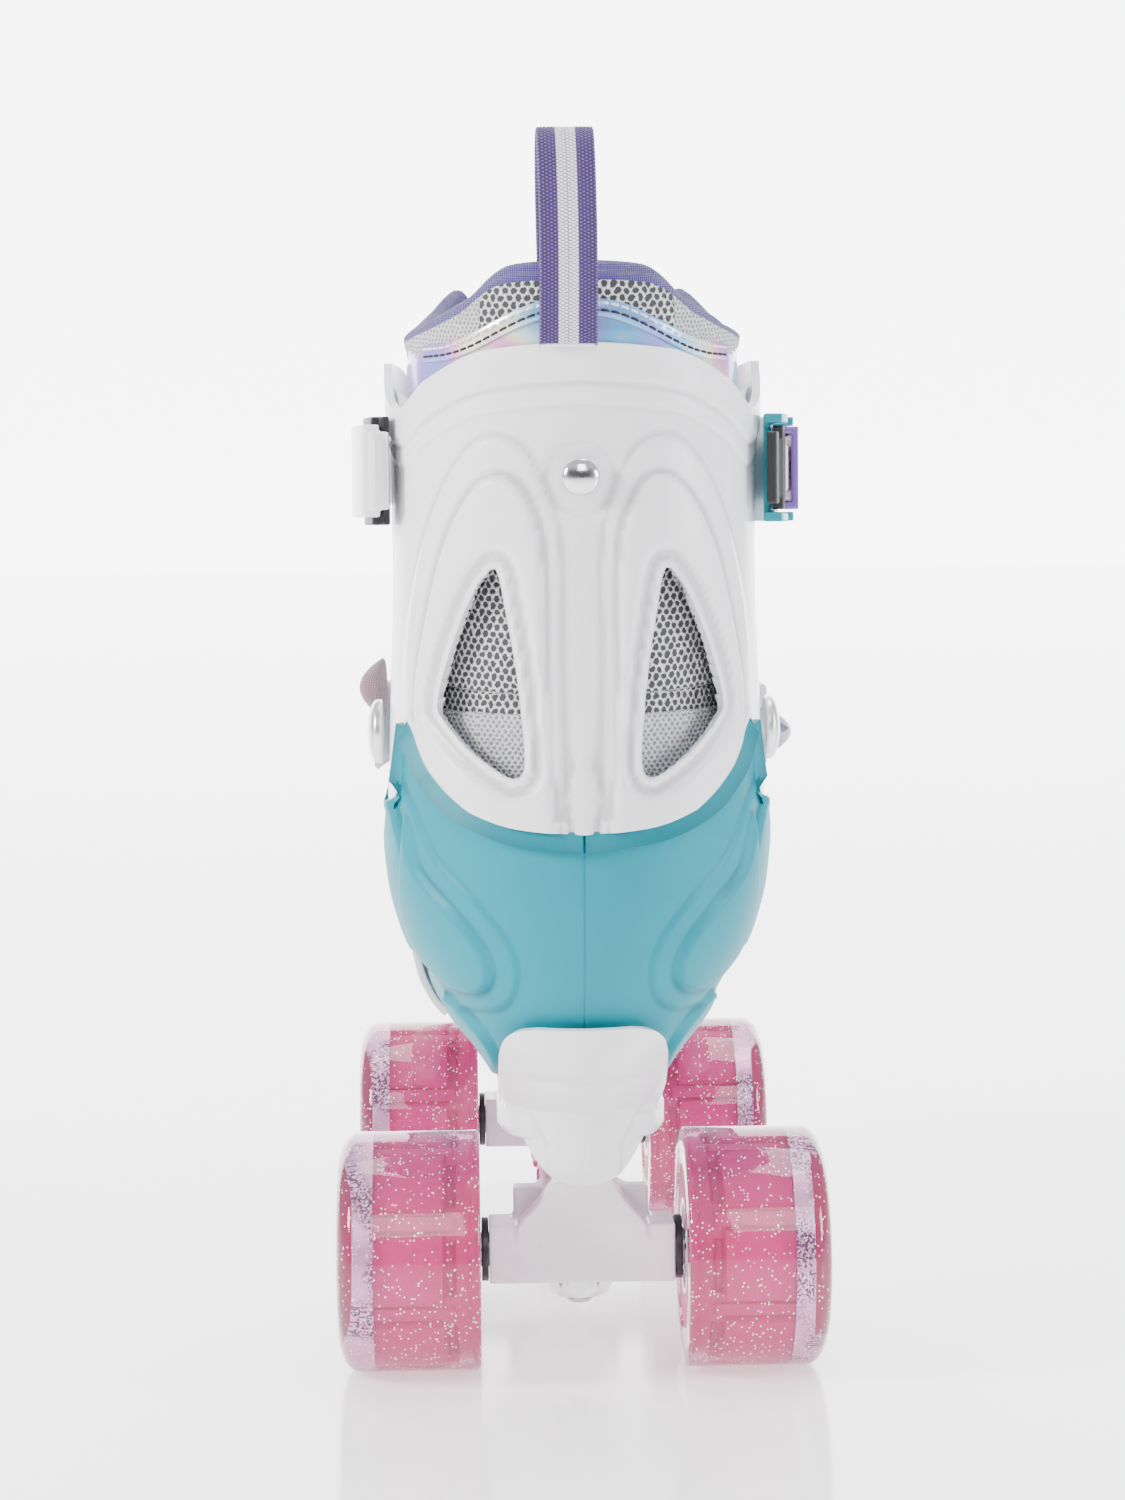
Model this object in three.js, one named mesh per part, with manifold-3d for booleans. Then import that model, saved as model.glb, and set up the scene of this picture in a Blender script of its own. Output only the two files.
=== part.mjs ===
// A child's adjustable quad roller skate, one of a pair, in millimetres, +Z up and the toe towards +Y.
// Four wheels turn on two steering trucks under a moulded plate; the plate carries a rigid heel shell,
// a padded boot liner, a sliding toe cap, and a cuff that pivots at the ankle and closes with a buckle.
// The design frame has Y = 0 over the rear axle; the exported group is shifted to put Y = 0 mid-length.
import * as THREE from "three";
import { mergeVertices } from "three/addons/utils/BufferGeometryUtils.js";
import Module from "manifold-3d";

const wasm = await Module();
wasm.setup();

// ---------------------------------------------------------------- driving dimensions
const GAP = 0.4; // general clearance between neighbouring pieces
const SLIDE_GAP = 1; // clearance where one moulding slides on another

const WHEEL_RADIUS = 27;
const WHEEL_WIDTH = 32;
const WHEEL_SHOULDER = 5; // how far the outer face domes out past the tread
const WHEELBASE = 150;
const HANGER_HALF = 21; // half length of the cast axle tube
const HANGER_TUBE = 12.5; // its square section
const WASHER = 1.2; // black washer between tube and wheel
const BEARING_OUTER = 11;
const BEARING_BORE = 4;
const BEARING_WIDTH = 7;
const HUB_RADIUS = 19;
const AXLE_RADIUS = BEARING_BORE - 0.1;
const NUT_FLATS = 13;
const NUT_HEIGHT = 5.5;
const TYRE_SEGMENTS = 28;
const WHEEL_INNER = HANGER_HALF + WASHER + 2 * GAP;
const WHEEL_OUTER = WHEEL_INNER + WHEEL_WIDTH;
const INNER_SEAT = WHEEL_INNER + 0.2; // where each bearing starts
const OUTER_SEAT = WHEEL_INNER + 18.4;
const NUT_START = OUTER_SEAT + BEARING_WIDTH + GAP;

const KINGPIN_OFFSET = 18; // kingpin ahead of the rear axle, behind the front one
const KINGPIN_RADIUS = 3.5;
const KINGPIN_BOTTOM = 10.5;
const KINGPIN_TOP = 56.5;
const KINGPIN_NUT_Z = 12.5;
const BOSS_BOTTOM = 46; // underside of the bosses that hold the kingpins
const CUSHION_RADIUS = 9;
const YOKE_RADIUS = 11.5;
const YOKE_BOTTOM = 30;
const YOKE_TOP = 35;
const PIVOT_OFFSET = 14; // steering pivot ball, outboard of the axle
const PIVOT_HEIGHT = 50;
const PIVOT_BALL = 3.4;

const DECK_BOTTOM = 56;
const DECK_TOP = 61.8;
const RISER_TOP = 64.4; // pad under the rear shell
const SHELL_FLOOR_TOP = 67;
const TOE_STOP_RADIUS = 18;
const TOE_STOP_HEIGHT = 20;
const TOE_STOP_TILT_DEG = 35;
const TOE_STOP_AHEAD = 41; // of the front axle
const TOE_STOP_Y = WHEELBASE + TOE_STOP_AHEAD;
const TOE_STOP_Z = 50; // where the stop's axis leaves its boss
const BUTTON_Y = 96; // the toe cap's release button
const BUTTON_LENGTH = 13;
const BUTTON_TRAVEL = 2.5;
const BUTTON_Z = [57.4, 60.8];

const CUFF_WALL = 2.5;
const SHELL_WALL = 2.2;
const LINER_PAD = 6;
const LEG_CENTRE_Y = 12; // widest part of the ankle
const ANKLE_Y = 20;
const ANKLE_Z = 144;
const ANKLE_EAR = 14; // radius of the cuff's lower ear round the ankle rivet
const CUFF_FRONT_Y = 52;
const TOE_FRONT_Y = 212;
const TOE_CAP_START = 115; // where the sliding cap's side skirts begin
const SHELL_TONGUE_END = 146; // how far the shell reaches inside the cap
const VAMP_END = 124;

const RIVET_SHANK = 3; // ankle rivets
const RIVET_HEAD = 7.5;
const REAR_RIVET_Z = 201.5;
const REAR_RIVET_SHANK = 2;

const STRAP_WIDTH = 15;
const STRAP_THICK = 2.8;
const STRAP_Z = 203.5;
const STRAP_STAND = 2.9; // how far the ladder strap stands off the leg
const BUCKLE_HEIGHT = 24;
const BUCKLE_BACK = -6;
const BUCKLE_FRONT = 36;
const BASE_STAND = 0.6;
const BASE_FACE = 2;
const CHEEK = 2.2; // thickness of the buckle's cheeks
const LEVER_BACK = 6;
const LEVER_STAND = STRAP_STAND + STRAP_THICK + 0.5;
const LEVER_THICK = 1.8;
const LEVER_HALF = BUCKLE_HEIGHT / 2 - CHEEK - GAP;
const RELEASE_Y = -1; // the release tab's pivot
const PIN_RADIUS = 1.2;
const BARREL_RADIUS = 2.3; // the lever's hinge barrel round the pin
const PIN_STAND = LEVER_STAND + BARREL_RADIUS;
const LOOP_HALF = 6.2; // half width of the pull loop
const LOOP_TOP = 276;
const LACE_RADIUS = 1.4;

const SHELL_INSET = CUFF_WALL + GAP + 0.3; // outer face of the shell where the cuff covers it
const LINER_INSET = SHELL_INSET + SHELL_WALL + GAP;
const LINER_FLOOR = SHELL_FLOOR_TOP + GAP;
const FOOTBED = 74;
const INSOLE_TOP = FOOTBED + GAP + 2.6;
const THROAT_HALF = 12;
const TONGUE_HALF = 17;
const NECK_Z = 151; // where the boot bends, at the back of the leg
const NECK_GAP = 8; // open wedge at the shin that closes as the cuff leans forward

// ---------------------------------------------------------------- small maths
const clamp = (v, lo, hi) => Math.min(hi, Math.max(lo, v));
const mix = (a, b, t) => a + (b - a) * t;
const smoothstep = (lo, hi, v) => {
  const t = clamp((v - lo) / (hi - lo), 0, 1);
  return t * t * (3 - 2 * t);
};
const radians = THREE.MathUtils.degToRad;
const range = (n, fn) => Array.from({ length: n }, (_, i) => fn(i));
const at = (x, y, z) => new THREE.Vector3(x, y, z);

// A smooth function through [input, output] pairs, without overshoot (monotone cubic).
function profile(points) {
  const xs = points.map((p) => p[0]);
  const ys = points.map((p) => p[1]);
  const slopes = xs.slice(1).map((x, i) => (ys[i + 1] - ys[i]) / (x - xs[i]));
  const tangents = xs.map((_, i) => {
    if (i === 0) return slopes[0];
    if (i === xs.length - 1) return slopes[i - 1];
    const [a, b] = [slopes[i - 1], slopes[i]];
    return a * b <= 0 ? 0 : (2 * a * b) / (a + b);
  });
  return (x) => {
    if (x <= xs[0]) return ys[0];
    if (x >= xs[xs.length - 1]) return ys[ys.length - 1];
    const i = xs.findIndex((v) => v > x) - 1;
    const h = xs[i + 1] - xs[i];
    const t = (x - xs[i]) / h;
    const [t2, t3] = [t * t, t * t * t];
    return (
      ys[i] * (2 * t3 - 3 * t2 + 1) +
      tangents[i] * h * (t3 - 2 * t2 + t) +
      ys[i + 1] * (3 * t2 - 2 * t3) +
      tangents[i + 1] * h * (t3 - t2)
    );
  };
}

// ---------------------------------------------------------------- solids
// The same surface with shared corners and its faces pointing outwards.
function outward(geometry) {
  const bare = geometry.index ? geometry.toNonIndexed() : geometry;
  const merged = mergeVertices(
    new THREE.BufferGeometry().setAttribute("position", bare.getAttribute("position")),
    1e-3,
  );
  const place = merged.attributes.position;
  const corner = (i) => at(0, 0, 0).fromBufferAttribute(place, i);
  const index = Array.from(merged.index.array);
  const faces = [];
  for (let i = 0; i < index.length; i += 3) {
    const [a, b, c] = index.slice(i, i + 3);
    if (a !== b && b !== c && c !== a) faces.push([a, b, c]);
  }
  return closed(range(place.count, corner), faces);
}

function solidOf(geometry) {
  const whole = outward(geometry);
  return new wasm.Manifold(
    new wasm.Mesh({
      numProp: 3,
      vertProperties: new Float32Array(whole.attributes.position.array),
      triVerts: new Uint32Array(whole.index.array),
    }),
  );
}

function geometryOf(solid) {
  const mesh = solid.getMesh();
  const positions = new Float32Array(mesh.numVert * 3);
  for (let i = 0; i < mesh.numVert; i++)
    positions.set(mesh.vertProperties.subarray(i * mesh.numProp, i * mesh.numProp + 3), i * 3);
  return new THREE.BufferGeometry()
    .setAttribute("position", new THREE.BufferAttribute(positions, 3))
    .setIndex(new THREE.BufferAttribute(new Uint32Array(mesh.triVerts), 1));
}

// A closed geometry from points and triangles, turned right side out.
function closed(points, triangles) {
  const volume = triangles.reduce(
    (sum, [a, b, c]) => sum + points[a].dot(at(0, 0, 0).crossVectors(points[b], points[c])) / 6,
    0,
  );
  const faces = volume < 0 ? triangles.map(([a, b, c]) => [a, c, b]) : triangles;
  return new THREE.BufferGeometry()
    .setAttribute(
      "position",
      new THREE.Float32BufferAttribute(points.flatMap((p) => [p.x, p.y, p.z]), 3),
    )
    .setIndex(faces.flat());
}

// Closes the space between two grids of points, each a list of columns, into a curved wall.
function wallBetween(outer, inner) {
  const [columns, rows] = [outer.length, outer[0].length];
  const points = [...outer.flat(), ...inner.flat()];
  const out = (i, j) => i * rows + j;
  const inn = (i, j) => columns * rows + i * rows + j;
  const faces = [];
  const quad = (a, b, c, d) => faces.push([a, b, c], [a, c, d]);
  for (let i = 0; i + 1 < columns; i++)
    for (let j = 0; j + 1 < rows; j++) {
      quad(out(i, j), out(i + 1, j), out(i + 1, j + 1), out(i, j + 1));
      quad(inn(i, j), inn(i, j + 1), inn(i + 1, j + 1), inn(i + 1, j));
    }
  for (let i = 0; i + 1 < columns; i++) {
    quad(out(i, 0), inn(i, 0), inn(i + 1, 0), out(i + 1, 0));
    quad(out(i, rows - 1), out(i + 1, rows - 1), inn(i + 1, rows - 1), inn(i, rows - 1));
  }
  for (let j = 0; j + 1 < rows; j++) {
    quad(out(0, j), out(0, j + 1), inn(0, j + 1), inn(0, j));
    quad(out(columns - 1, j), inn(columns - 1, j), inn(columns - 1, j + 1), out(columns - 1, j + 1));
  }
  return closed(points, faces);
}

// A solid through rings of points, with both end rings closed to their centres.
function loft(rings) {
  const count = rings[0].length;
  const points = rings.flat();
  const faces = [];
  const centre = (ring) =>
    ring.reduce((sum, p) => sum.add(p), at(0, 0, 0)).divideScalar(ring.length);
  points.push(centre(rings[0]), centre(rings[rings.length - 1]));
  const [first, last] = [points.length - 2, points.length - 1];
  for (let i = 0; i < count; i++) {
    const next = (i + 1) % count;
    for (let r = 0; r + 1 < rings.length; r++) {
      const [a, b] = [r * count + i, r * count + next];
      faces.push([a, b, b + count], [a, b + count, a + count]);
    }
    const top = (rings.length - 1) * count;
    faces.push([first, next, i], [last, top + i, top + next]);
  }
  return closed(points, faces);
}

// An outline in the XY plane, pushed up from z to z + height.
function prism(outline, z, height) {
  const shape = outline instanceof THREE.Shape ? outline : new THREE.Shape(outline);
  return outward(
    new THREE.ExtrudeGeometry(shape, { depth: height, bevelEnabled: false, curveSegments: 8 }),
  ).translate(0, 0, z);
}

// An outline in the side view, given as [y, z] pairs, spanning x from -half to +half.
function sidePrism(outline, half) {
  return prism(outline.map(([y, z]) => new THREE.Vector2(y, z)), -half, 2 * half).applyMatrix4(
    new THREE.Matrix4().makeBasis(at(0, 1, 0), at(0, 0, 1), at(1, 0, 0)),
  );
}

// A turned piece from [radius, along] pairs, its axis along +X from x = 0.
function turned(points, segments) {
  const outline = points.map(([r, along]) => new THREE.Vector2(r, along));
  return outward(
    new THREE.LatheGeometry(outline, segments)
      .rotateY(Math.PI / segments)
      .applyMatrix4(new THREE.Matrix4().makeBasis(at(0, 0, 1), at(1, 0, 0), at(0, 1, 0))),
  );
}

// The same with its axis along +Z.
function turnedUp(points, segments) {
  const outline = points.map(([r, along]) => new THREE.Vector2(r, along));
  return outward(new THREE.LatheGeometry(outline, segments)).rotateX(Math.PI / 2);
}

function box(x0, x1, y0, y1, z0, z1) {
  return new THREE.BoxGeometry(x1 - x0, y1 - y0, z1 - z0).translate(
    (x0 + x1) / 2,
    (y0 + y1) / 2,
    (z0 + z1) / 2,
  );
}

const join = (...pieces) =>
  geometryOf(pieces.map(solidOf).reduce((sum, piece) => sum.add(piece)));
const cut = (body, ...tools) =>
  geometryOf(tools.map(solidOf).reduce((rest, tool) => rest.subtract(tool), solidOf(body)));

// ---------------------------------------------------------------- materials
const material = (color, roughness, metalness = 0, opacity = 1) =>
  new THREE.MeshStandardMaterial({
    color,
    roughness,
    metalness,
    opacity,
    transparent: opacity < 1,
  });
const WHITE_PLASTIC = material(0xf1f1f5, 0.3);
const TEAL_PLASTIC = material(0x0bb5cd, 0.35);
const PURPLE_PLASTIC = material(0x9077c8, 0.35);
const BLACK_PLASTIC = material(0x1c1a20, 0.5);
const MESH_FABRIC = material(0xd9d9de, 0.9);
const PURPLE_FABRIC = material(0x7a68b8, 0.9);
const SILVER_FABRIC = material(0xc3c7d0, 0.4, 0.4);
const PINK_URETHANE = material(0xea6aa8, 0.15, 0, 0.6);
const PINK_PLASTIC = material(0xe5559b, 0.4);
const CHROME = material(0xd8d8da, 0.12, 1);
const STEEL = material(0x9a9ca2, 0.3, 1);
const SOFT_URETHANE = material(0xf3d3e0, 0.5);

const skate = new THREE.Group();

function place(name, geometry, look, group = skate) {
  const mesh = new THREE.Mesh(geometry, look);
  mesh.name = name;
  group.add(mesh);
  return mesh;
}

// ---------------------------------------------------------------- the boot's outer form
// Half width of heel, ankle and leg at each height, and of the forefoot along its length.
const heelWidth = profile([
  [61, 18], [66, 20], [73, 24.5], [80, 30], [90, 35.5], [100, 40.5],
  [112, 43.5], [125, 44.5], [150, 44], [180, 43], [215, 43.2], [250, 43.5],
]);
const footWidth = profile([
  [12, 35], [60, 35], [90, 37.5], [115, 39], [135, 39.2], [160, 38.6],
  [180, 36], [194, 30.5], [203, 24], [209, 16.5], [TOE_FRONT_Y, 9],
]);
const footCrown = profile([
  [12, 178], [60, 165], [75, 151], [90, 139], [105, 129], [125, 118],
  [145, 112], [165, 108], [182, 103], [195, 97], [204, 90.5], [209, 84.5], [TOE_FRONT_Y, 78],
]);
const soleHeight = profile([[190, 62.2], [201, 63.4], [208, 66], [TOE_FRONT_Y, 69.5]]);
// Share of the full width at each share of the forefoot's height.
const crossSection = profile([
  [0, 0.78], [0.08, 0.88], [0.2, 0.96], [0.36, 1], [0.55, 0.95], [0.72, 0.83],
  [0.86, 0.63], [0.95, 0.38], [1, 0.1],
]);
// Back edge and front edge of the leg's horizontal sections.
const spine = profile([
  [61, -20], [66, -25], [74, -30], [85, -34.5], [97, -38.5], [112, -40.8],
  [130, -41.2], [150, -40.8], [180, -38.2], [210, -35.6], [224, -35], [232, -35.8], [250, -35],
]);
const shin = profile([
  [61, 130], [110, 104], [130, 88], [150, 75], [170, 66], [200, 61], [250, 60],
]);

function forefootWidth(y, z) {
  const bottom = soleHeight(y);
  return footWidth(y) * crossSection(clamp((z - bottom) / (footCrown(y) - bottom), 0, 1));
}

// Half width of the boot ahead of the ankle, at a point (y, z) of the side view.
function sideWidth(y, z) {
  const low = mix(heelWidth(z), forefootWidth(y, z), smoothstep(20, 110, y));
  const reach = clamp((y - LEG_CENTRE_Y) / (shin(z) - LEG_CENTRE_Y), 0, 0.999);
  const leg = heelWidth(z) * Math.sqrt(1 - reach * reach);
  return mix(low, leg, smoothstep(112, 148, z));
}

// A point on the boot's surface, inset by a distance. Station 0 is the middle of the heel,
// +-0.5 the widest part of the ankle, and +-1 the right or left side at y = end.
function onBoot(station, z, inset, end) {
  const side = Math.sign(station) || 1;
  const s = Math.abs(station);
  if (s <= 0.5) {
    const angle = s * Math.PI;
    const depth = LEG_CENTRE_Y - spine(z) - inset;
    return at(
      side * (heelWidth(z) - inset) * Math.sin(angle),
      LEG_CENTRE_Y - depth * Math.cos(angle),
      z,
    );
  }
  const y = mix(LEG_CENTRE_Y, end, (s - 0.5) * 2);
  return at(side * (sideWidth(y, z) - inset), y, z);
}

// Both hands of a list of stations, from the left side round the heel to the right.
const bothSides = (half) => [...half.filter((s) => s > 0).map((s) => -s).reverse(), ...half];

// ---------------------------------------------------------------- cuff and heel shell
const earBottom = (y) =>
  ANKLE_Z - Math.sqrt(Math.max(0, ANKLE_EAR * ANKLE_EAR - (y - ANKLE_Y) ** 2));
const cuffHem = profile([
  [0, 125.6], [0.1, 126.8], [0.2, 131], [0.28, 138.5], [0.345, 148.5], [0.385, 133], [0.42, 130],
]);
// Lower edge of the cuff at a station, or ahead of the ankle at a y.
function cuffBottom(station) {
  const s = Math.abs(station);
  if (s <= 0.5) return cuffHem(s);
  const y = mix(LEG_CENTRE_Y, CUFF_FRONT_Y, (s - 0.5) * 2);
  if (y <= ANKLE_Y) return ANKLE_Z - ANKLE_EAR;
  return y < ANKLE_Y + ANKLE_EAR ? earBottom(y) : ANKLE_Z + (y - ANKLE_Y - ANKLE_EAR) * 1.35;
}
const cuffTop = profile([
  [0, 230], [0.15, 228.6], [0.28, 223], [0.375, 217], [0.45, 220], [0.53, 228],
  [0.7, 227.5], [0.86, 223], [1, 212],
]);
// Upper edge of the shell: high inside the cuff, then down along the foot.
const shellTop = profile([
  [-40, 147], [0, 152], [ANKLE_Y, 157], [30, 151], [36, 141.5], [42, 142],
  [60, 128], [85, 104], [TOE_CAP_START, 87], [SHELL_TONGUE_END, 80],
]);

function cuff() {
  const stations = bothSides([
    0, 0.07, 0.14, 0.21, 0.28, 0.315, 0.345, 0.365, 0.385, 0.42, 0.5, 0.6, 0.66, 0.725, 0.775,
    0.85, 1,
  ]);
  const rows = range(8, (j) => j / 7);
  const side = (inset) =>
    stations.map((s) => {
      const [low, high] = [cuffBottom(s), cuffTop(Math.abs(s))];
      return rows.map((t) => {
        const z = mix(low, high, t);
        const front = CUFF_FRONT_Y - 8 * smoothstep(165, 225, z);
        return onBoot(s, z, inset, front);
      });
    });
  const wall = wallBetween(side(0), side(CUFF_WALL));
  const ankleHole = rivetHole(ANKLE_Y, ANKLE_Z, RIVET_SHANK + 0.2);
  return cut(wall, ventCutter(1), ventCutter(-1), ankleHole, rearRivetHole());
}

// The teardrop vent beside the spine, seen from behind.
function ventCutter(side) {
  const outline = new THREE.Shape();
  outline.moveTo(19.2 * side, 182);
  outline.quadraticCurveTo(30 * side, 166, 31.2 * side, 153);
  outline.quadraticCurveTo(30 * side, 145, 15.5 * side, 138);
  outline.quadraticCurveTo(12.4 * side, 138, 12.6 * side, 144);
  outline.quadraticCurveTo(13.4 * side, 166, 19.2 * side, 182);
  const depth = 40;
  return new THREE.ExtrudeGeometry(outline, { depth, bevelEnabled: false, curveSegments: 4 })
    .rotateX(Math.PI / 2)
    .translate(0, -10, 0);
}

// A hole right through the boot's side walls for a shank along X.
function rivetHole(y, z, radius) {
  return new THREE.CylinderGeometry(radius, radius, 120, 16)
    .rotateZ(Math.PI / 2)
    .translate(0, y, z);
}

function rearRivetHole() {
  const radius = REAR_RIVET_SHANK + 0.2;
  return new THREE.CylinderGeometry(radius, radius, 30, 10).translate(0, -35, REAR_RIVET_Z);
}

// The shell's lip stays outside the cuff's ear, and under its front edge when it leans forward.
function leanedEar(y) {
  const reach = ANKLE_EAR + 1.2;
  const along = y - ANKLE_Y;
  if (along <= 0) return ANKLE_Z - reach;
  const circle = ANKLE_Z - Math.sqrt(Math.max(0, reach * reach - along * along));
  return Math.min(circle, ANKLE_Z - 4.5 + 0.85 * Math.max(0, along - reach));
}

// Flush with the cuff below its hem, stepping in under it so that the cuff can tilt forward over it.
function heelShell() {
  const behind = [0, 0.1, 0.2, 0.28, 0.315, 0.345, 0.365, 0.385, 0.42, 0.5];
  const along = [
    18, 24, 30, 34, 38, 44, 54, 70, 90, TOE_CAP_START - 2, TOE_CAP_START + 1, 132, SHELL_TONGUE_END,
  ];
  const span = SHELL_TONGUE_END - LEG_CENTRE_Y;
  const ahead = along.map((y) => 0.5 + (0.5 * (y - LEG_CENTRE_Y)) / span);
  const stations = bothSides([...behind, ...ahead]);
  const frame = stations.map((s) => {
    const y = onBoot(s, 130, 0, SHELL_TONGUE_END).y;
    const hem = Math.abs(s) > 0.5 ? leanedEar(y) : cuffHem(Math.abs(s)) - 0.9;
    const top = shellTop(y);
    const lip = Math.min(hem, top - 1);
    const cap = y > TOE_CAP_START ? CUFF_WALL : 0;
    const low = RISER_TOP + GAP;
    const inner = cap ? cap + SLIDE_GAP + 1.6 : CUFF_WALL + 0.4;
    return [
      [low, cap, inner],
      [mix(low, lip, 0.16), cap, inner],
      [mix(low, lip, 0.38), cap, inner],
      [mix(low, lip, 0.68), cap, inner],
      [lip, cap, inner],
      [lip + 0.5, Math.max(cap, SHELL_INSET), SHELL_INSET + SHELL_WALL],
      [top, Math.max(cap, SHELL_INSET), SHELL_INSET + SHELL_WALL],
    ];
  });
  const side = (column) =>
    stations.map((s, i) => frame[i].map((row) => onBoot(s, row[0], row[column], SHELL_TONGUE_END)));
  const wall = wallBetween(side(1), side(2));
  const edge = stations.map((s) => {
    const y = onBoot(s, 130, 0, SHELL_TONGUE_END).y;
    const inset = (y > TOE_CAP_START ? CUFF_WALL : 0) + 1;
    const p = onBoot(s, RISER_TOP + GAP + 0.2, inset, SHELL_TONGUE_END);
    return new THREE.Vector2(p.x, p.y);
  });
  const floor = prism(edge, RISER_TOP + GAP, SHELL_FLOOR_TOP - RISER_TOP - GAP);
  const nose = cut(
    box(-60, 60, TOE_CAP_START - GAP, 240, 50, 150),
    toeHull(CUFF_WALL + SLIDE_GAP),
  );
  return cut(join(wall, floor), nose, rivetHole(ANKLE_Y, ANKLE_Z, RIVET_SHANK + 0.2));
}

// ---------------------------------------------------------------- liner, toe and tongue
// Closed horizontal ring of the leg at a height.
function legRing(z, inset, count = 20) {
  const half = heelWidth(z) - inset;
  return range(count, (i) => {
    const angle = (2 * Math.PI * i) / count;
    const reach =
      Math.cos(angle) > 0 ? LEG_CENTRE_Y - spine(z) - inset : shin(z) - LEG_CENTRE_Y - inset;
    return at(half * Math.sin(angle), LEG_CENTRE_Y - reach * Math.cos(angle), z);
  });
}

// Closed upright ring of the foot at a y.
function footRing(y, inset, floor, width = sideWidth) {
  const levels = [0, 0.07, 0.2, 0.4, 0.6, 0.78, 0.9, 1];
  const top = footCrown(y) - inset;
  const half = levels.map((level) => {
    const half = width(y, mix(Math.max(floor, soleHeight(y) + 0.5), footCrown(y), level)) - inset;
    return at(Math.max(1, half), y, mix(floor, top, level));
  });
  return [...half, ...half.map((p) => at(-p.x, p.y, p.z)).reverse()];
}

function linerFoot() {
  const hull = (inset, floor, low, start, end) =>
    join(
      loft([low, 74, 84, 95, 108, 122, 136, 150, 172].map((z) => legRing(z, inset))),
      loft([start, 40, 60, 75, 90, 105, end].map((y) => footRing(y, inset, floor))),
    );
  const outer = hull(LINER_INSET, LINER_FLOOR, LINER_FLOOR, 16, VAMP_END);
  const hollow = hull(LINER_INSET + LINER_PAD, FOOTBED, FOOTBED, 18, VAMP_END + 4);
  const above = sidePrism([[-60, NECK_Z - 1], [100, NECK_Z + 5], [100, 220], [-60, 220]], 70);
  const throat = box(-THROAT_HALF, THROAT_HALF, 40, 114, 100, 200);
  return cut(outer, hollow, above, throat);
}

// Line of the throat in the side view, from the vamp up to the neck.
const throatLine = [112.5, 104, 95, 86, 78, 71].map((y) => [y, footCrown(y)]);

function tongueLower() {
  const half = THROAT_HALF - GAP;
  const outer = throatLine.map(([y, z]) => [y, z - LINER_INSET + 2.5]);
  const inner = throatLine.map(([y, z]) => [y - 1, z - LINER_INSET - 4]).reverse();
  return sidePrism([...outer, ...inner], half);
}

const collarEdge = profile([
  [-40, 249], [-24, 246.5], [-8, 238], [8, 233.5], [24, 235], [40, 245], [58, 251],
]);

function linerCollar() {
  const heights = [146, 160, 175, 190, 205, 220, 236, 256];
  const outer = loft(heights.map((z) => legRing(z, LINER_INSET + 3 * smoothstep(226, 252, z))));
  const levels = [140, 160, 180, 200, 220, 236, 262];
  const hollow = loft(levels.map((z) => legRing(z, LINER_INSET + LINER_PAD)));
  const below = sidePrism([[-70, 100], [100, 100], [100, NECK_Z + NECK_GAP + 8], [-70, NECK_Z]], 70);
  const rim = range(12, (i) => -45 + i * 10);
  const above = sidePrism([...rim.map((y) => [y, collarEdge(y)]), [70, 300], [-50, 300]], 70);
  const front = box(-TONGUE_HALF - GAP, TONGUE_HALF + GAP, 30, 90, 100, 300);
  return cut(outer, hollow, below, above, front);
}

function tongueUpper() {
  const line = [170, 185, 200, 218, 236, 249];
  const outer = line.map((z) => [shin(z) - LINER_INSET + 3.5, z]);
  const inner = line.map((z) => [shin(z) - LINER_INSET - LINER_PAD + 0.5, z]).reverse();
  return sidePrism([...outer, ...inner], TONGUE_HALF);
}

function insole() {
  const inset = LINER_INSET + LINER_PAD;
  const reach = LEG_CENTRE_Y - spine(FOOTBED + 1) - inset;
  const edge = [-17, -8, 10, 40, 75, 100, VAMP_END].map((y) => {
    const round = Math.sqrt(1 - (Math.max(0, LEG_CENTRE_Y - y) / reach) ** 2);
    const heel = (heelWidth(FOOTBED + 1) - inset) * round;
    const half = y < LEG_CENTRE_Y ? heel : sideWidth(y, FOOTBED + 1) - inset;
    return new THREE.Vector2(half - 1.5, y);
  });
  const outline = [...edge, ...edge.map((p) => new THREE.Vector2(-p.x, p.y)).reverse()];
  return prism(outline, FOOTBED + GAP, INSOLE_TOP - FOOTBED - GAP);
}

const toeStations = [TOE_CAP_START - 8, 125, 140, 155, 168, 180, 190, 198, 204, 208.5, TOE_FRONT_Y];
function toeHull(inset) {
  const fits = (y) => inset === 0 || footWidth(y) * crossSection(0) > inset + 2;
  const shrink = (y) => y - inset * smoothstep(150, TOE_FRONT_Y, y);
  const ring = (y) => footRing(y, inset, soleHeight(y) + inset, forefootWidth);
  return loft(
    toeStations.filter(fits).map((y) => ring(y).map((p) => at(p.x, shrink(p.y), p.z))),
  );
}

// The cap's back edge leans forward as it rises.
const capEdge = [
  [TOE_CAP_START, 50], [TOE_CAP_START, 80], [TOE_CAP_START + 8, 96], [TOE_CAP_START + 20, 130],
  [80, 130], [80, 50],
];

function toeCap() {
  return cut(
    toeHull(0),
    toeHull(CUFF_WALL),
    box(-26, 26, TOE_CAP_START - 20, 142, 50, 70),
    sidePrism(capEdge, 60),
  );
}

function linerToe() {
  const inset = CUFF_WALL + 2 * SLIDE_GAP + SHELL_WALL + 0.6;
  return cut(
    toeHull(inset),
    toeHull(inset + 3.4),
    box(-60, 60, 60, VAMP_END + 8, 50, 130),
    box(-60, 60, 60, SHELL_TONGUE_END + 2, 50, SHELL_FLOOR_TOP + GAP),
  );
}

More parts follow.
